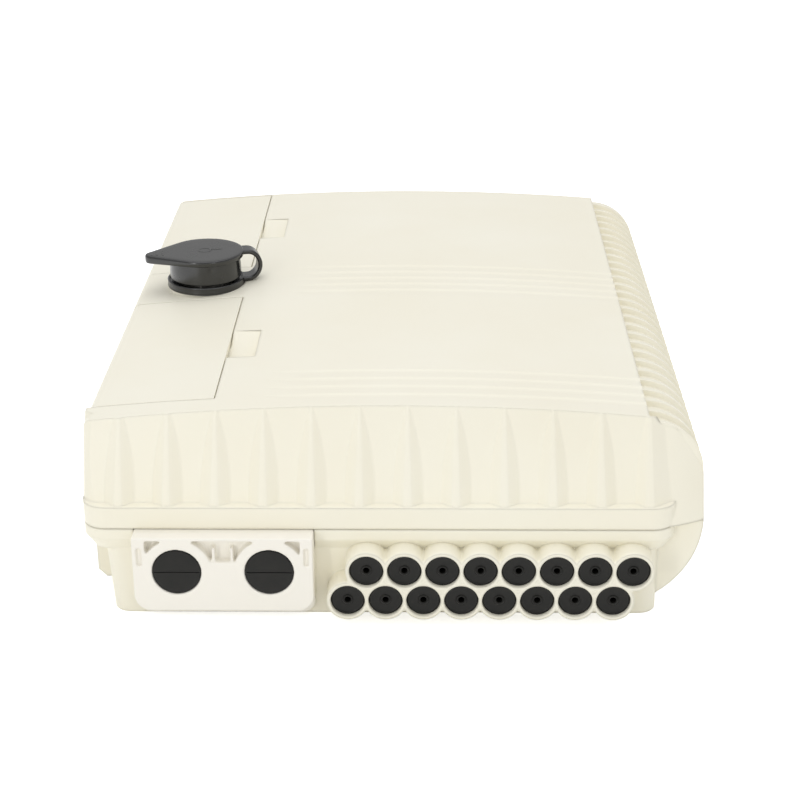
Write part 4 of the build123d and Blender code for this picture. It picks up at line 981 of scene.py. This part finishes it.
@dataclass
class DropPorts:
    """The sixteen rubber plugs in two staggered rows."""

    columns: int = 8
    pitch: float = 14.4
    radius: float = 6.55
    hole: float = 1.2
    length: float = 12.0
    membrane: float = 2.5
    forward: float = 2.1
    sleeve: float = 8.1
    bore: float = 6.58
    rim_y: float = -162.48
    root_y: float = -151.0

    def plug(self) -> bpy.types.Object:
        """Turn one plug with a rolled rim, a raised hub and a cable hole.

        Returns:
            The plug at the origin, its face towards -Y.
        """
        r = self.radius
        profile = [
            (self.hole, self.membrane), (self.hole, -0.1), (self.hole + 0.2, -0.3), (self.hole + 0.6, -0.25),
            (self.hole + 0.9, 0.2), (r - 1.35, 0.2),
            (r - 1.1, 0.1), (r - 0.9, -0.05), (r - 0.55, -0.1), (r - 0.2, 0.05), (r - 0.03, 0.4),
            (r, 0.8), (r, self.length), (r - 2.6, self.length), (r - 2.6, self.membrane),
        ]
        plug = object_from("drop_plug", turned(profile, 40, closed=True))
        plug.data.transform(Matrix.Rotation(math.radians(-90), 4, "X"))
        return plug

    def places(self) -> list[tuple[float, float]]:
        """Return X and Z of each port in millimetres, upper row first."""
        found = []
        for index in range(1, 2 * self.columns + 1):
            low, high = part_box(f"drop_grommet_{index:02d}")
            found.append(((low.x + high.x) / 2 / MM, (low.z + high.z) / 2 / MM))
        return found

    def web(self) -> None:
        """Fill the hollows between the sleeves flush with their rims, as the mould does."""
        places = self.places()
        upper, lower = places[:self.columns], places[self.columns:]
        corners = [lower[0], lower[-1], upper[-1], upper[0]]
        form = bmesh.new()
        loft(form, [[(x, y, z) for x, z in corners] for y in (self.rim_y, self.root_y)])
        piece = object_from("port_web_skin", form)
        for place in places:
            merge(piece, rod("sleeve", place, self.sleeve, self.rim_y, self.root_y, 64), "UNION")
        for place in places:
            merge(piece, rod("bore", place, self.bore, self.rim_y - 1, self.root_y + 1, 64), "DIFFERENCE")
        melt(piece, 0.5, 5)
        carry(piece, Body.BASE, Finish.ROUNDED)

    def build(self) -> None:
        """Set the plugs in their sleeves."""
        self.web()
        low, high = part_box("drop_grommet_01")
        front = low.y
        middle = (low + high) / 2
        other = sum(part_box("drop_grommet_09"), Vector()) / 2
        rows = Rows(self.columns, self.pitch, (other.x - middle.x) / MM, (other.z - middle.z) / MM)
        place = Vector((middle.x, front - self.forward * MM, middle.z))
        plugs = rows.repeat("drop_plugs", self.plug(), place, Finish.RUBBER)
        nodes = [f"drop_grommet_{index:02d}" for index in range(1, 2 * self.columns + 1)]
        carry(plugs, Body.BASE, Finish.RUBBER, nodes)


@dataclass
class LockCap:
    """The rubber cap over the lock, its ring and the strap between them."""

    axis: tuple[float, float] = (-87.5, 8.9)
    seat: float = 78.39
    top: float = 94.2
    turn: float = 14.0
    radius: float = 17.4
    skirt_radius: float = 16.0
    ring_radius: float = 17.2
    ring_bore: float = 11.3
    ring_height: float = 3.4
    wall: float = 2.4
    plate: float = 2.7
    tab_centre: float = 22.7
    tab_radius: float = 4.1
    droop: float = 0.09
    strap_reach: float = 25.4
    strap_width: float = 8.0
    strap_thick: float = 1.9
    grips: int = 3

    def frame_matrix(self) -> Matrix:
        """Return the cap's own frame, with X towards the strap."""
        place = Matrix.Translation(Vector((self.axis[0], self.axis[1], self.seat)) * MM)
        return place @ Matrix.Rotation(math.radians(self.turn), 4, "Z")

    def outline(self, inset: float) -> list[tuple[float, float]]:
        """Return the plate's outline: a disc that runs out to a rounded tab along -X.

        Args:
            inset: How far the outline lies inside the plate's edge, in millimetres.
        """
        flank = math.acos((self.radius - self.tab_radius) / self.tab_centre)
        disc, tab = self.radius - inset, max(self.tab_radius - inset, 0.05)
        points = []
        for step in range(121):
            angle = math.pi + flank + 2 * (math.pi - flank) * step / 120
            points.append((disc * math.cos(angle), disc * math.sin(angle)))
        for step in range(25):
            angle = math.pi - flank + 2 * flank * step / 24
            points.append((tab * math.cos(angle) - self.tab_centre, tab * math.sin(angle)))
        return points

    def cap(self) -> None:
        """Build the plate with its tab, its grips and mark, and the skirt under it."""
        top = self.top - self.seat
        low = top - self.plate
        form = bmesh.new()
        layers = [
            (3.8, top), (1.2, top), (0.6, top - 0.05), (0.25, top - 0.2), (0.05, top - 0.5), (0.0, top - 0.9),
            (0.05, low + 0.5), (0.3, low + 0.15), (0.7, low), (3.8, low),
        ]
        loft(form, [[(x, y, z) for x, y in self.outline(inset)] for inset, z in layers])
        for vert in form.verts:
            beyond = max(-vert.co.x / MM - self.radius + 3, 0.0)
            under = min(max((top - vert.co.z / MM) / self.plate, 0.0), 1.0)
            vert.co.z -= self.droop * beyond * under * MM
        body = object_from("lock_cap_skin", form)
        s = self.skirt_radius
        skirt = [
            (s - 0.4, low + 0.4), (s - 0.3, low - 0.6), (s - 0.1, low - 4.0), (s, self.ring_height + 1.6),
            (s - 0.15, self.ring_height + 0.9), (s - 0.5, self.ring_height + 0.6),
            (s - self.wall, self.ring_height + 0.7), (s - self.wall, low + 0.4),
        ]
        shell = object_from("cap_skirt", turned(skirt, 96, closed=True))
        for piece in (body, shell):
            piece.data.transform(self.frame_matrix())
        carry(body, Body.LOCK_CAP, Finish.CAP, ["lock_cap"])
        carry(shell, Body.LOCK_CAP, Finish.CAP)
        self.marks(top)

    def marks(self, top: float) -> None:
        """Raise the grips on the tab and a plain keyhole sign on the disc.

        Args:
            top: The plate's height over the seat, in millimetres.
        """
        form = bmesh.new()
        for index in range(self.grips):
            x = -self.tab_centre - 1.4 + index * 2.5
            half = 2.0 + index * 0.45
            place = Matrix.Translation(Vector((x, 0, top)) * MM)
            size = Matrix.Diagonal(Vector((0.7 * MM, 2 * half * MM, 0.16 * MM, 1)))
            bmesh.ops.create_cube(form, size=1.0, matrix=place @ size)
        loop = [(2.2, top - 0.1), (2.2, top + 0.08), (3.1, top + 0.08), (3.1, top - 0.1)]
        sign = turned(loop, 40, closed=True)
        mesh = bpy.data.meshes.new("sign")
        sign.to_mesh(mesh)
        sign.free()
        form.from_mesh(mesh)
        bpy.data.meshes.remove(mesh)
        place = Matrix.Translation(Vector((5.4, 0, top)) * MM)
        size = Matrix.Diagonal(Vector((5.0 * MM, 1.1 * MM, 0.16 * MM, 1)))
        bmesh.ops.create_cube(form, size=1.0, matrix=place @ size)
        marks = object_from("cap_marks", form)
        marks.data.transform(self.frame_matrix())
        carry(marks, Body.LOCK_CAP, Finish.CAP)

    def ring(self) -> None:
        """Turn the ring that stays round the lock."""
        r = self.ring_radius
        inner = self.ring_bore
        high = self.ring_height
        profile = [
            (inner, 0.1), (r - 0.5, 0.0), (r, 0.15), (r + 0.1, 0.6), (r - 0.1, 1.6), (r, 2.6),
            (r + 0.05, high - 0.3), (r - 0.25, high), (r - 0.7, high - 0.1),
            (r - 1.2, high - 0.9), (inner + 0.3, high - 0.9), (inner, high - 1.2),
        ]
        ring = object_from("lock_cap_ring_skin", turned(profile, 96, closed=True))
        ring.data.transform(self.frame_matrix())
        carry(ring, Body.LID, Finish.CAP, ["lock_cap_ring"])

    def strap(self) -> None:
        """Bend the flat strap from the plate's edge down to the ring."""
        start = self.radius - 1.5
        low = self.ring_height / 2 + 0.2
        high = self.top - self.seat - self.strap_thick / 2 - 0.4
        middle = (low + high) / 2
        half = (high - low) / 2
        straight = self.radius + 1.5
        bulge = self.strap_reach - self.strap_thick / 2 - straight
        path = [(start, high), ((start + straight) / 2, high)]
        for step in range(25):
            angle = math.pi / 2 - math.pi * step / 24
            path.append((straight + bulge * math.cos(angle), middle + half * math.sin(angle)))
        path += [((start + straight) / 2, low), (start, low)]
        sections = []
        for index, (x, z) in enumerate(path):
            before = path[max(index - 1, 0)]
            after = path[min(index + 1, len(path) - 1)]
            along = Vector((after[0] - before[0], after[1] - before[1])).normalized()
            out = Vector((along.y, -along.x))
            sections.append([(x - out.x * thick, across, z - out.y * thick)
                             for across, thick in self.strap_section()])
        form = bmesh.new()
        loft(form, sections)
        strap = object_from("lock_cap_strap", form)
        strap.data.transform(self.frame_matrix())
        dress(strap, Finish.CAP)
        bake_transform(strap)
        LOG.info("%s between lid and cap", strap.name)

    def strap_section(self) -> list[tuple[float, float]]:
        """Return the strap's rounded cross-section, across and through it."""
        half = self.strap_width / 2
        thick = self.strap_thick / 2
        cut = thick * 0.55
        return [
            (half, -thick + cut), (half, thick - cut), (half - cut, thick), (cut - half, thick),
            (-half, thick - cut), (-half, cut - thick), (cut - half, -thick), (half - cut, -thick),
        ]

    def build(self) -> None:
        """Build the cap, ring and strap."""
        self.cap()
        self.ring()
        self.strap()


@dataclass
class Hardware:
    """The lock, pins and screws."""

    nickel: tuple[str, ...] = ("lock_housing", "lock_plug", "lock_nut")
    zinc: tuple[str, ...] = (
        "lock_cam", "clamp_screws", "latch_pin_front", "latch_pin_rear", "hinge_pin_front", "hinge_pin_rear",
    )

    def build(self) -> None:
        """Dress the metal pieces."""
        for names, finish in ((self.nickel, Finish.NICKEL), (self.zinc, Finish.PIN)):
            for name in names:
                dress(frame["nodes"][name], finish)


@dataclass
class Inside:
    """The trays, adapters and clamps in the box."""

    def build(self) -> None:
        """Dress the pieces inside."""
        nodes = frame["nodes"]
        for name, node in nodes.items():
            if name.startswith("adapter_") and name != "adapter_panel":
                dress(node, Finish.ADAPTER)
            elif name.startswith("splice_tray") or name == "tray_bracket":
                dress(node, Finish.TRAY)
            elif name.startswith("tray_cover"):
                dress(node, Finish.COVER)
            elif name.startswith("cable_clamp"):
                dress(node, Finish.GREY)
        dress(nodes["adapter_panel"], Finish.GREY)
        dress(nodes["splitter_cassette"], Finish.CASSETTE)


def main() -> None:
    """Build the box's looks in order."""
    logging.basicConfig(level=logging.INFO, format="%(name)s: %(message)s")
    Studio().build()
    for part in (Shells(), FlankSkin(), LapSkins(), CableEntry(), DropPorts(), LockCap(), Hardware(), Inside()):
        part.build()
        LOG.info("%s done", type(part).__name__)


if __name__ == "__main__":
    main()
